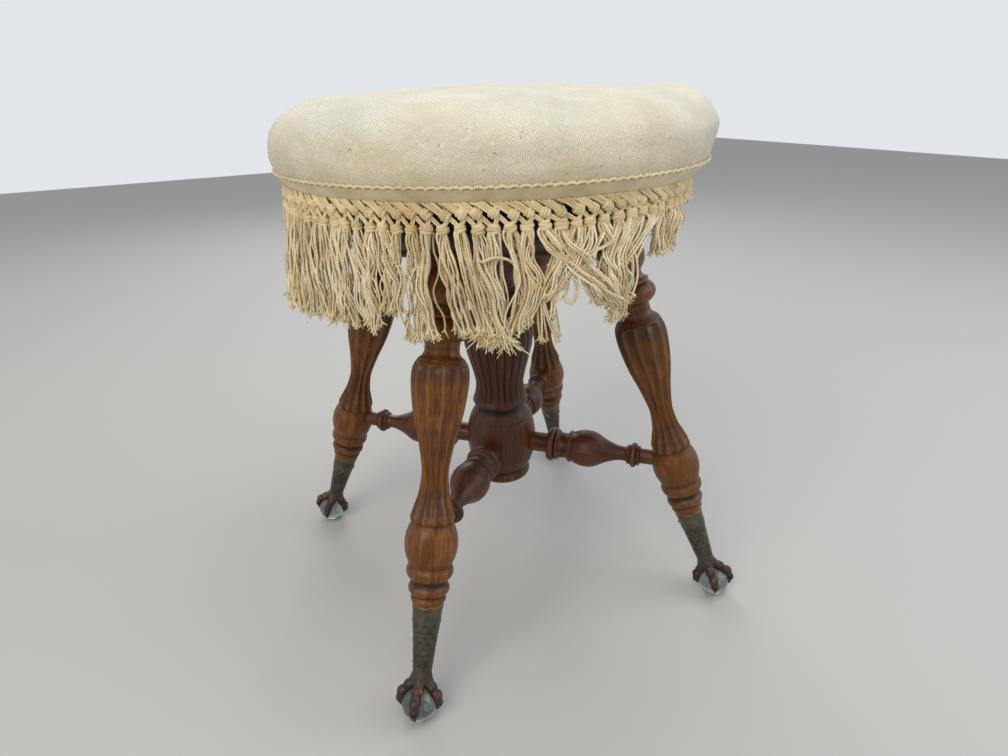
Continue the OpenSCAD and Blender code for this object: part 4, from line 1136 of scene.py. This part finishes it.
def drawTassel(draw, drop):
    knot = knotPlace(drop, 1)
    way = hangTassel(draw, drop)
    twist = draw.uniform(-2.2, 2.2)
    full = draw.uniform(0.8, 1.2) + (tassel["fuller"] if drop in tassel["fullDrops"] else 0)
    curl = 2 if drop in tassel["curlyDrops"] else 1
    fluff = 2 if drop in tassel["fluffedDrops"] else 1
    # strands dry together in clumps: each clump has its own wave, turn, length and lean
    clumps = [(curl * abs(draw.gauss(0.9, 0.7)), draw.uniform(0, 6.3), draw.uniform(24, 48),
               draw.gauss(0, 1.9)) for k in range(tassel["clumps"])]
    strands, fibres = [], []
    for n in range(fringe["strands"]):
        wave, waveTurn, waveLength, splay = clumps[n * tassel["clumps"] // fringe["strands"]]
        wave *= draw.uniform(0.8, 1.2)
        waveTurn += draw.uniform(-0.4, 0.4)
        splay += draw.gauss(0, 0.45)
        if draw.random() < tassel["stray"]:
            # a strand that strays across the others
            wave, waveLength, splay = draw.uniform(1.6, 3.4), draw.uniform(30, 44), draw.gauss(0, 4)
        inner = n < tassel["innerStrands"]
        ring = tassel["innerShare"] if inner else 1
        others = tassel["innerStrands"] if inner else fringe["strands"] - tassel["innerStrands"]
        spot = 2 * math.pi * n / others + draw.uniform(-0.3, 0.3)
        count = round(len(way) * draw.uniform(0.94, 1.0))
        own = draw.uniform(0, 900)
        strand = []
        for k in range(count):
            t = k / (len(way) - 1)
            across, down, off = way[k]
            swell = math.sin(min(1, t * 2.2) * math.pi / 2)
            girth = ring * full * (tassel["neck"] + tassel["swell"] * swell + tassel["flare"] * t)
            a = spot + twist * t
            free = min(1, t * 2.5)
            crimp = tassel["crimp"] * free * noise.noise(Vector((own, down * 0.17, 0)))
            phase = waveTurn + down * 2 * math.pi / waveLength
            across += (girth * math.cos(a) * tassel["wide"] + splay * t + crimp
                       + wave * math.sin(phase) * free)
            off += (girth * math.sin(a) * tassel["deep"] - crimp * 0.5
                    + wave * 0.7 * math.cos(phase) * free)
            share = 1.04 - 0.08 * t + 0.16 * noise.noise(Vector((own, down * 0.4, 7)))
            strand.append((around(*knot, across, -down, off), share))
        strands.append(strand)
        fibres += frayEnd(draw, strand, fluff)
    return strands, fibres


def drawLoose(draw, drop, row):
    # each loose end is a few strands that left the tassel together
    knot = knotPlace(drop, 1)
    strands, fibres = [], []
    for n in range(tassel["looseTogether"]):
        shift = Vector((draw.gauss(0, 0.8), 0, draw.gauss(0, 0.6)))
        drift = Vector((draw.gauss(0, 0.04), draw.gauss(0, 0.03), 0))
        way = smoothThrough([Vector(place) + shift + drift * place[1] for place in row], 9)
        strand = [(around(*knot, across, -down, off), 1) for across, down, off in way]
        strands.append(strand)
        fibres += frayEnd(draw, strand, 1)
    return strands, fibres


def makeTassels():
    draw = random.Random(fringe["seed"] + 5)
    drawn = [(drop, *drawTassel(draw, drop)) for drop in range(fringe["drops"])]
    drawn += [(drop, *drawLoose(draw, drop, row)) for drop, row in loose]
    quarters = [[], [], [], []]
    brushes = [[], [], [], []]
    for drop, strands, fibres in drawn:
        quarters[drop * 4 // fringe["drops"]] += strands
        brushes[drop * 4 // fringe["drops"]] += fibres
    thick = fringe["strandRadius"] * mm
    pieces = [drawCords("tassels_" + "abcd"[n], strands, thick) for n, strands in enumerate(quarters)]
    tips = [drawCords("tassel_tips_" + "abcd"[n], fibres, thick * 0.6) for n, fibres in enumerate(brushes)]
    for piece in pieces + tips:
        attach(piece, "seat")
    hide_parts("fringe_tassels")
    return pieces, tips


def frayEnd(draw, strand, fluff):
    # the end of a strand opens into a little brush of fibres, and a fluffed one opens twice as far
    end, before = strand[-1][0], strand[-2][0]
    way = (end - before).normalized()
    fibres = []
    for k in range(tassel["fibres"] * fluff):
        splay = Vector((draw.gauss(0, 0.27), draw.gauss(0, 0.27), draw.gauss(0, 0.2))) * fluff
        reach = draw.uniform(2.5, 5.5) * fluff ** 0.5 * mm
        fibres.append([(end - way * 1.5 * mm, 1.1), (end + (way + splay * 0.7) * reach * 0.5, 1.1),
                       (end + (way + splay * 1.4) * reach, 0.75)])
    return fibres


fringeHeading = makeHeading()
tassels, tasselTips = makeTassels()

print("materials")


def paint(material, *pieces):
    for piece in pieces:
        if not piece.material_slots:
            piece.data.materials.append(material)
        for slot in piece.material_slots:
            slot.material = material


def makeWood(name, tones, streak, settings):
    # Shellacked hardwood, turned and carved: streaks run the blank's length; painted
    # shade darkens the hollows over gathered polish and dirt, and a painted highlight lightens the ridges
    # where the polish has rubbed thin
    material, tree, shader = newMaterial(name, settings)
    place = addNode(tree, "Attribute", {"attribute_name": "grain"})
    hollow = addNode(tree, "Attribute", {"attribute_name": "hollow"})
    drawn = addNode(tree, "Mapping", {"Scale": (1, 1, 0.07)}, {"Vector": place.outputs["Vector"]})
    # growth streaks about 5 mm apart, drawn out 14 times along the grain
    figure = addNode(tree, "TexNoise", {"Scale": streak, "Detail": 4, "Roughness": 0.62, "Distortion": 1.2},
                     {"Vector": drawn.outputs[0]})
    tone = addNode(tree, "ValToRGB", None, {0: figure.outputs[0]},
                   [(0.3, tones["dark"]), (0.5, tones["middle"]), (0.72, tones["light"])])
    # pores are 0.3 mm across; drawn at 0.8 mm so that they show
    pores = addNode(tree, "TexNoise", {"Scale": 1250, "Detail": 2}, {"Vector": drawn.outputs[0]})
    poreMask = addNode(tree, "MapRange", {"From Min": 0.55, "From Max": 0.68, "To Max": 0.45},
                       {"Value": pores.outputs[0]})
    poreTone = addNode(tree, "Mix", {"data_type": "RGBA", "blend_type": "MULTIPLY", 7: tones["pore"]},
                       {0: poreMask.outputs[0], 6: tone.outputs[0]})
    # hands and dusters leave broad patches of thinner and thicker polish
    patch = addNode(tree, "TexNoise", {"Scale": 24, "Detail": 3, "Roughness": 0.55},
                    {"Vector": place.outputs["Vector"]})
    patchMask = addNode(tree, "MapRange", {"From Min": 0.42, "From Max": 0.66, "To Max": 0.6},
                        {"Value": patch.outputs[0]})
    patched = addNode(tree, "Mix", {"data_type": "RGBA", 7: tones["patch"]},
                      {0: patchMask.outputs[0], 6: poreTone.outputs[2]})
    # painted shade with dirt: coves, flutes and the darker lengths go towards near black
    paintedShadeAndDark = addNode(tree, "MapRange", {"From Min": 0.04, "From Max": 0.75, "To Max": 0.92},
                    {"Value": hollow.outputs["Fac"]})
    shadedAndSoiled = addNode(tree, "Mix", {"data_type": "RGBA", 7: tones["paintedShadeAndDark"]},
                     {0: paintedShadeAndDark.outputs[0], 6: patched.outputs[2]})
    # painted highlight on the sharp ridges, over polish that wear has rubbed thin
    shape = addNode(tree, "NewGeometry")
    edge = addNode(tree, "MapRange", {"From Min": 0.52, "From Max": 0.6, "To Max": 0.6},
                   {"Value": shape.outputs["Pointiness"]})
    highlightAndWear = addNode(tree, "Mix", {"data_type": "RGBA", 7: tones["highlightAndWear"]},
                   {0: edge.outputs[0], 6: shadedAndSoiled.outputs[2]})
    tree.links.new(highlightAndWear.outputs[2], shader.inputs["Base Color"])
    gloss = addNode(tree, "MapRange", {"From Min": 0.3, "From Max": 0.7, "To Min": 0.3, "To Max": 0.52},
                    {"Value": patch.outputs[0]})
    tree.links.new(gloss.outputs[0], shader.inputs["Roughness"])
    relief = addNode(tree, "Bump", {"Strength": 0.25, "Distance": 0.3 * mm}, {"Height": pores.outputs[0]})
    waves = addNode(tree, "Bump", {"Strength": 0.5, "Distance": 0.8 * mm},
                    {"Height": figure.outputs[0], "Normal": relief.outputs[0]})
    tree.links.new(waves.outputs[0], shader.inputs["Normal"])
    return material


# the hollows' tone is painted shade with dirt, and the ridges' tone a painted highlight with wear
walnutTones = {"light": "#a0631c", "middle": "#744313", "dark": "#4a2b0d", "pore": "#4c2f14",
               "patch": "#57350f", "paintedShadeAndDark": "#1c120a", "highlightAndWear": "#ad7736"}
mahoganyTones = {"light": "#774322", "middle": "#552d18", "dark": "#371d0e", "pore": "#402414",
                 "patch": "#422611", "paintedShadeAndDark": "#180e09", "highlightAndWear": "#80522f"}
walnut = makeWood("shellacked walnut", walnutTones, 190,
                  {"Coat Weight": 0.1, "Coat Roughness": 0.3, "IOR": 1.5, "Specular IOR Level": 0.3})
mahogany = makeWood("stained mahogany", mahoganyTones, 150,
                    {"Coat Weight": 0.1, "Coat Roughness": 0.35, "IOR": 1.5, "Specular IOR Level": 0.3})
paint(walnut, *legs.values())
paint(mahogany, turnedColumn, *stretchers.values())


def makeIron():
    # Cast iron under old bronze paint: olive brown skin on the shank, red-brown on
    # the toes, painted shade between the scales and against the ball, black talons,
    # and the knuckles rubbed to bright metal with a painted highlight
    material, tree, shader = newMaterial("bronzed cast iron", {"Metallic": 0.5})
    place = addNode(tree, "TexCoord")
    hollow = addNode(tree, "Attribute", {"attribute_name": "hollow"})
    toe = addNode(tree, "Attribute", {"attribute_name": "toe"})
    cloud = addNode(tree, "TexNoise", {"Scale": 90, "Detail": 5, "Roughness": 0.6},
                    {"Vector": place.outputs["Object"]})
    skin = addNode(tree, "ValToRGB", None, {0: cloud.outputs[0]},
                   [(0.32, "#393730"), (0.5, "#4e4a3e"), (0.68, "#645c4b")])
    red = addNode(tree, "ValToRGB", None, {0: cloud.outputs[0]},
                  [(0.3, "#2b2020"), (0.48, "#3f2c26"), (0.63, "#54392c"), (0.76, "#8a5f30")])
    body = addNode(tree, "Mix", {"data_type": "RGBA"},
                   {0: toe.outputs["Fac"], 6: skin.outputs[0], 7: red.outputs[0]})
    # painted shade in the scales' roots, the scutes and against the ball, with the talons' own black
    paintedShadeAndDark = addNode(tree, "MapRange", {"From Min": 0.4, "From Max": 1, "To Max": 0.8},
                    {"Value": hollow.outputs["Fac"]})
    dark = addNode(tree, "Mix", {"data_type": "RGBA", 7: "#1b1517"},
                   {0: paintedShadeAndDark.outputs[0], 6: body.outputs[2]})
    # painted highlight, in patches, with worn paint on the knuckles and edges
    shape = addNode(tree, "NewGeometry")
    edge = addNode(tree, "MapRange", {"From Min": 0.515, "From Max": 0.6, "To Max": 0.85},
                   {"Value": shape.outputs["Pointiness"]})
    highlightAndWearNoise = addNode(tree, "TexNoise", {"Scale": 260, "Detail": 3}, {"Vector": place.outputs["Object"]})
    highlightAndWearPatches = addNode(tree, "MapRange", {"From Min": 0.4, "From Max": 0.6}, {"Value": highlightAndWearNoise.outputs[0]})
    patchy = addNode(tree, "Math", {"operation": "MULTIPLY"}, {0: edge.outputs[0], 1: highlightAndWearPatches.outputs[0]})
    highlightAndWear = addNode(tree, "Mix", {"data_type": "RGBA", 7: "#b3a68f"},
                   {0: patchy.outputs[0], 6: dark.outputs[2]})
    tree.links.new(highlightAndWear.outputs[2], shader.inputs["Base Color"])
    # sand from the mould leaves a grit of 0.5 mm
    grit = addNode(tree, "TexNoise", {"Scale": 1900, "Detail": 2}, {"Vector": place.outputs["Object"]})
    rough = addNode(tree, "MapRange", {"To Min": 0.2, "To Max": 0.52}, {"Value": cloud.outputs[0]})
    tree.links.new(rough.outputs[0], shader.inputs["Roughness"])
    relief = addNode(tree, "Bump", {"Strength": 0.35, "Distance": 0.25 * mm}, {"Height": grit.outputs[0]})
    tree.links.new(relief.outputs[0], shader.inputs["Normal"])
    return material


bronzedIron = makeIron()
paint(bronzedIron, *clawFeet.values(), cadNodes["foot_pins"])


def makeGlass():
    # Pressed glass, grey with age: smooth, with faint waves from the mould, so that
    # it takes the floor's tone and keeps a bright rim
    finish = {"Base Color": "#939d98", "Transmission Weight": 1, "IOR": 1.52, "Roughness": 0.03}
    material, tree, shader = newMaterial("pressed glass", finish)
    place = addNode(tree, "TexCoord")
    wave = addNode(tree, "TexNoise", {"Scale": 160, "Detail": 2}, {"Vector": place.outputs["Object"]})
    relief = addNode(tree, "Bump", {"Strength": 0.12, "Distance": 0.4 * mm}, {"Height": wave.outputs[0]})
    tree.links.new(relief.outputs[0], shader.inputs["Normal"])
    return material


pressedGlass = makeGlass()
paint(pressedGlass, *glassBalls.values())


def makeCoverLinen():
    # Loosely woven linen: open lines 1.5 mm apart between its warp threads, finer
    # cross threads with painted shade in the gaps, thick slubs and fluff, and dull because its fibres scatter
    # light
    finish = {"Roughness": 0.92, "Sheen Weight": 0.2, "Sheen Roughness": 0.5, "Specular IOR Level": 0.15}
    material, tree, shader = newMaterial("slubbed linen", finish)
    cloth = addNode(tree, "UVMap", {"uv_map": "threads"})
    wander = addNode(tree, "TexNoise", {"Scale": 32, "Detail": 2}, {"Vector": cloth.outputs[0]})
    pulled = addNode(tree, "VectorMath", {"operation": "MULTIPLY_ADD", 1: (0.005, 0.005, 0)},
                     {0: wander.outputs["Color"], 2: cloth.outputs[0]})
    jitter = addNode(tree, "TexNoise", {"Scale": 420, "Detail": 1}, {"Vector": cloth.outputs[0]})
    drift = addNode(tree, "VectorMath", {"operation": "MULTIPLY_ADD", 1: (0.0011, 0.0011, 0)},
                    {0: jitter.outputs["Color"], 2: pulled.outputs[0]})
    axes = addNode(tree, "SeparateXYZ", None, {0: drift.outputs[0]})
    threads = []
    for axis, spacing in ((0, 1.5 * mm), (1, 1.15 * mm)):
        phase = addNode(tree, "Math", {"operation": "MULTIPLY", 1: math.pi / spacing},
                        {0: axes.outputs[axis]})
        swell = addNode(tree, "Math", {"operation": "SINE"}, {0: phase.outputs[0]})
        height = addNode(tree, "Math", {"operation": "ABSOLUTE"}, {0: swell.outputs[0]})
        threads.append(addNode(tree, "Math", {"operation": "POWER", 1: 0.7}, {0: height.outputs[0]}))
    weave = addNode(tree, "Math", {"operation": "MULTIPLY_ADD", 1: 0.35},
                    {0: threads[1].outputs[0], 2: threads[0].outputs[0]})
    # the weave is open in some patches and closed by fluff in others
    patch = addNode(tree, "TexNoise", {"Scale": 26, "Detail": 3}, {"Vector": cloth.outputs[0]})
    openness = addNode(tree, "MapRange", {"From Min": 0.38, "From Max": 0.62, "To Min": 0.25, "To Max": 1},
                    {"Value": patch.outputs[0]})
    slubs = []
    for stretch, seed, least in (((230, 34, 1), 1.3, 0.57), ((38, 250, 1), 5.7, 0.58),
                                 ((120, 150, 1), 9.1, 0.53)):
        lie = addNode(tree, "Mapping", {"Scale": stretch, "Location": (seed, seed, 0)},
                      {"Vector": cloth.outputs[0]})
        bits = addNode(tree, "TexNoise", {"Scale": 1.5, "Detail": 3, "Roughness": 0.6},
                       {"Vector": lie.outputs[0]})
        slubs.append(addNode(tree, "MapRange", {"From Min": least, "From Max": least + 0.13},
                             {"Value": bits.outputs[0]}))
    pair = addNode(tree, "Math", {"operation": "MAXIMUM"}, {0: slubs[0].outputs[0], 1: slubs[1].outputs[0]})
    # fluff gathers in tufts 5 mm across, more of them low on the side
    place = addNode(tree, "TexCoord")
    level = addNode(tree, "SeparateXYZ", None, {0: place.outputs["Object"]})
    low = addNode(tree, "MapRange", {"From Min": 0.512, "From Max": 0.485, "To Min": 0.35, "To Max": 1},
                  {"Value": level.outputs[2]})
    tuft = addNode(tree, "Math", {"operation": "MULTIPLY"}, {0: slubs[2].outputs[0], 1: low.outputs[0]})
    slub = addNode(tree, "Math", {"operation": "MAXIMUM"}, {0: pair.outputs[0], 1: tuft.outputs[0]})
    height = addNode(tree, "Math", {"operation": "MULTIPLY_ADD", 1: 1.3},
                     {0: slub.outputs[0], 2: weave.outputs[0]})
    # painted shade in the gaps between threads, weaker where fluff closes the weave
    tone = addNode(tree, "ValToRGB", None, {0: weave.outputs[0]},
                   [(0.3, "#9d947f"), (0.75, "#dedac9"), (1.0, "#e9e6da")])
    filled = addNode(tree, "Mix", {"data_type": "RGBA", 6: "#e1ddce"},
                     {0: openness.outputs[0], 7: tone.outputs[0]})
    blotch = addNode(tree, "TexNoise", {"Scale": 11, "Detail": 4}, {"Vector": place.outputs["Object"]})
    # body oils and dust: faintly pink, cream and green-grey patches 60 mm across
    aged = addNode(tree, "ValToRGB", None, {0: blotch.outputs[0]},
                   [(0.32, "#f5eadc"), (0.46, "#f8f3e4"), (0.6, "#f2f1e4"), (0.72, "#ebece0")])
    stained = addNode(tree, "Mix", {"data_type": "RGBA", "blend_type": "MULTIPLY", 0: 1},
                      {6: filled.outputs[2], 7: aged.outputs[0]})
    pale = addNode(tree, "Mix", {"data_type": "RGBA", 7: "#f3edda"}, {6: stained.outputs[2]})
    slubShare = addNode(tree, "Math", {"operation": "MULTIPLY", 1: 0.7}, {0: slub.outputs[0]})
    tree.links.new(slubShare.outputs[0], pale.inputs[0])
    # specks of chaff 1 mm across; drawn at 1.5 mm so that they show
    specks = addNode(tree, "TexNoise", {"Scale": 330, "Detail": 0}, {"Vector": place.outputs["Object"]})
    fleck = addNode(tree, "MapRange", {"From Min": 0.8, "From Max": 0.84, "To Max": 0.55},
                    {"Value": specks.outputs[0]})
    flecked = addNode(tree, "Mix", {"data_type": "RGBA", 7: "#8d7f63"},
                      {0: fleck.outputs[0], 6: pale.outputs[2]})
    # the lower side is drawn yellower and darker
    reach = addNode(tree, "MapRange", {"From Min": 0.5, "From Max": 0.466, "To Max": 0.55},
                    {"Value": level.outputs[2]})
    yellowerBelow = addNode(tree, "Mix", {"data_type": "RGBA", "blend_type": "MULTIPLY", 7: "#eee2ca"},
                       {0: reach.outputs[0], 6: flecked.outputs[2]})
    tree.links.new(yellowerBelow.outputs[2], shader.inputs["Base Color"])
    relief = addNode(tree, "Bump", {"Strength": 0.6, "Distance": 0.5 * mm}, {"Height": height.outputs[0]})
    # the low side is matted into bumps 4 mm across
    matted = addNode(tree, "TexNoise", {"Scale": 250, "Detail": 2}, {"Vector": place.outputs["Object"]})
    bumps = addNode(tree, "Math", {"operation": "MULTIPLY"}, {0: matted.outputs[0], 1: low.outputs[0]})
    uneven = addNode(tree, "Bump", {"Strength": 0.7, "Distance": 1.2 * mm},
                     {"Height": bumps.outputs[0], "Normal": relief.outputs[0]})
    tree.links.new(uneven.outputs[0], shader.inputs["Normal"])
    return material


paint(makeCoverLinen(), stuffedCushion)


def makeTapeCotton():
    # Ribbed cotton tape: fine cords across it, 1.1 mm apart, softly lustrous
    material, tree, shader = newMaterial("ribbed cotton tape", {"Roughness": 0.72, "Sheen Weight": 0.3})
    cloth = addNode(tree, "UVMap", {"uv_map": "threads"})
    axes = addNode(tree, "SeparateXYZ", None, {0: cloth.outputs[0]})
    phase = addNode(tree, "Math", {"operation": "MULTIPLY", 1: math.pi / (1.1 * mm)}, {0: axes.outputs[0]})
    swell = addNode(tree, "Math", {"operation": "SINE"}, {0: phase.outputs[0]})
    rib = addNode(tree, "Math", {"operation": "ABSOLUTE"}, {0: swell.outputs[0]})
    soil = addNode(tree, "TexNoise", {"Scale": 60, "Detail": 3}, {"Vector": cloth.outputs[0]})
    tone = addNode(tree, "ValToRGB", None, {0: soil.outputs[0]},
                   [(0.3, "#cbb88a"), (0.5, "#dccca3"), (0.7, "#e7dab7")])
    shade = addNode(tree, "MapRange", {"To Min": 0.74, "To Max": 1.04}, {"Value": rib.outputs[0]})
    ribbed = addNode(tree, "Mix", {"data_type": "RGBA", "blend_type": "MULTIPLY", 0: 1},
                     {6: tone.outputs[0], 7: shade.outputs[0]})
    tree.links.new(ribbed.outputs[2], shader.inputs["Base Color"])
    relief = addNode(tree, "Bump", {"Strength": 0.4, "Distance": 0.3 * mm}, {"Height": rib.outputs[0]})
    tree.links.new(relief.outputs[0], shader.inputs["Normal"])
    return material


paint(makeTapeCotton(), wovenTape)


def makeYarn(name, tones, plyPitch):
    # Soft twisted cotton: each strand has its own tint, and slanting plies catch
    # the light; the fibres make it matt with a faint sheen
    finish = {"Roughness": 0.85, "Sheen Weight": 0.35, "Sheen Roughness": 0.4, "Specular IOR Level": 0.25}
    material, tree, shader = newMaterial(name, finish)
    shape = addNode(tree, "NewGeometry")
    place = addNode(tree, "TexCoord")
    tint = addNode(tree, "ValToRGB", None, {0: shape.outputs["Random Per Island"]},
                   [(0, tones[0]), (0.35, tones[1]), (0.8, tones[2])])
    cloud = addNode(tree, "TexNoise", {"Scale": 55, "Detail": 3}, {"Vector": place.outputs["Object"]})
    shade = addNode(tree, "MapRange", {"From Min": 0.3, "From Max": 0.7, "To Min": 0.82, "To Max": 1.08},
                    {"Value": cloud.outputs[0]})
    aged = addNode(tree, "Mix", {"data_type": "RGBA", "blend_type": "MULTIPLY", 0: 1},
                   {6: tint.outputs[0], 7: shade.outputs[0]})
    # a few stretches of the fringe have gone brown with dust and hands
    dust = addNode(tree, "TexNoise", {"Scale": 13, "Detail": 2}, {"Vector": place.outputs["Object"]})
    dusty = addNode(tree, "MapRange", {"From Min": 0.56, "From Max": 0.72, "To Max": 0.5},
                    {"Value": dust.outputs[0]})
    browned = addNode(tree, "Mix", {"data_type": "RGBA", 7: "#b78f5f"},
                      {0: dusty.outputs[0], 6: aged.outputs[2]})
    tree.links.new(browned.outputs[2], shader.inputs["Base Color"])
    axes = addNode(tree, "SeparateXYZ", None, {0: place.outputs["Object"]})
    lay = addNode(tree, "Math", {"operation": "MULTIPLY", 1: 2 * math.pi / plyPitch}, {0: axes.outputs[2]})
    ply = addNode(tree, "Math", {"operation": "SINE"}, {0: lay.outputs[0]})
    relief = addNode(tree, "Bump", {"Strength": 0.35, "Distance": 0.25 * mm}, {"Height": ply.outputs[0]})
    tree.links.new(relief.outputs[0], shader.inputs["Normal"])
    return material


paint(makeYarn("cotton fringe yarn", ("#d8be8b", "#ead7ac", "#f8ebcc"), 2.2 * mm), *tassels)
paint(makeYarn("knotted fringe yarn", ("#dbc491", "#e6d19f", "#f0deb5"), 2.2 * mm), fringeHeading)
paint(makeYarn("frayed yarn ends", ("#d8bd80", "#ecdaaa", "#f7ecca"), 1.5 * mm), *tasselTips)
paint(makeYarn("gold twisted cord", ("#d8c08c", "#e8d6a9", "#f3e4c3"), 1.4 * mm), cordedEdging)


def makePlain(name, tones, scale, grain, settings):
    # a mottled surface for the pieces under the seat: cloud for the finish and
    # grain for its texture
    material, tree, shader = newMaterial(name, settings)
    place = addNode(tree, "TexCoord")
    cloud = addNode(tree, "TexNoise", {"Scale": scale, "Detail": 4}, {"Vector": place.outputs["Object"]})
    tone = addNode(tree, "ValToRGB", None, {0: cloud.outputs[0]},
                   [(0.3, tones[0]), (0.5, tones[1]), (0.7, tones[2])])
    tree.links.new(tone.outputs[0], shader.inputs["Base Color"])
    bits = addNode(tree, "TexNoise", {"Scale": grain, "Detail": 2}, {"Vector": place.outputs["Object"]})
    relief = addNode(tree, "Bump", {"Strength": 0.3, "Distance": 0.2 * mm}, {"Height": bits.outputs[0]})
    tree.links.new(relief.outputs[0], shader.inputs["Normal"])
    return material


# name, tones, scale of its clouds, scale of its grain, settings, and what it covers
plain = [("stained hardwood disc", ("#2c1a12", "#40281a", "#553623"), 30, 700,
          {"Roughness": 0.5, "Coat Weight": 0.15}, [cadNodes["top_block"]]),
         ("black cast iron", ("#1d1c1b", "#2b2927", "#3a3532"), 60, 1500,
          {"Metallic": 0.7, "Roughness": 0.55}, [cadNodes["nut_plate"], cadNodes["seat_iron"]]),
         ("oiled steel", ("#5f5b56", "#7d7974", "#94908a"), 80, 1200, {"Metallic": 1, "Roughness": 0.35},
          [cadNodes["seat_screw"], cadNodes["nut_plate_screws"], cadNodes["seat_iron_screws"],
           cadNodes["screw_cross_pin"], cadNodes["stop_washer"], cadNodes["stop_pin"]]),
         ("greased leather", ("#3d2818", "#56391f", "#6b4a2e"), 120, 900, {"Roughness": 0.6},
          [cadNodes["screw_washer"]]),
         ("planed pine", ("#8f6b3f", "#a9814f", "#c09a66"), 25, 600, {"Roughness": 0.7},
          [cadNodes["seat_board"]]),
         ("black lining cloth", ("#1f1d1c", "#2a2826", "#35322f"), 35, 1600, {"Roughness": 0.95},
          [bottomCloth]),
         ("horsehair stuffing", ("#6e6150", "#8a7b62", "#9d8e74"), 90, 800, {"Roughness": 1},
          [hairStuffing]),
         ("blued tacks", ("#23211f", "#3b3835", "#55504a"), 90, 1400, {"Metallic": 0.8, "Roughness": 0.45},
          [cadNodes["cover_tacks"]])]
for name, tones, scale, grain, settings, pieces in plain:
    paint(makePlain(name, tones, scale, grain, settings), *pieces)
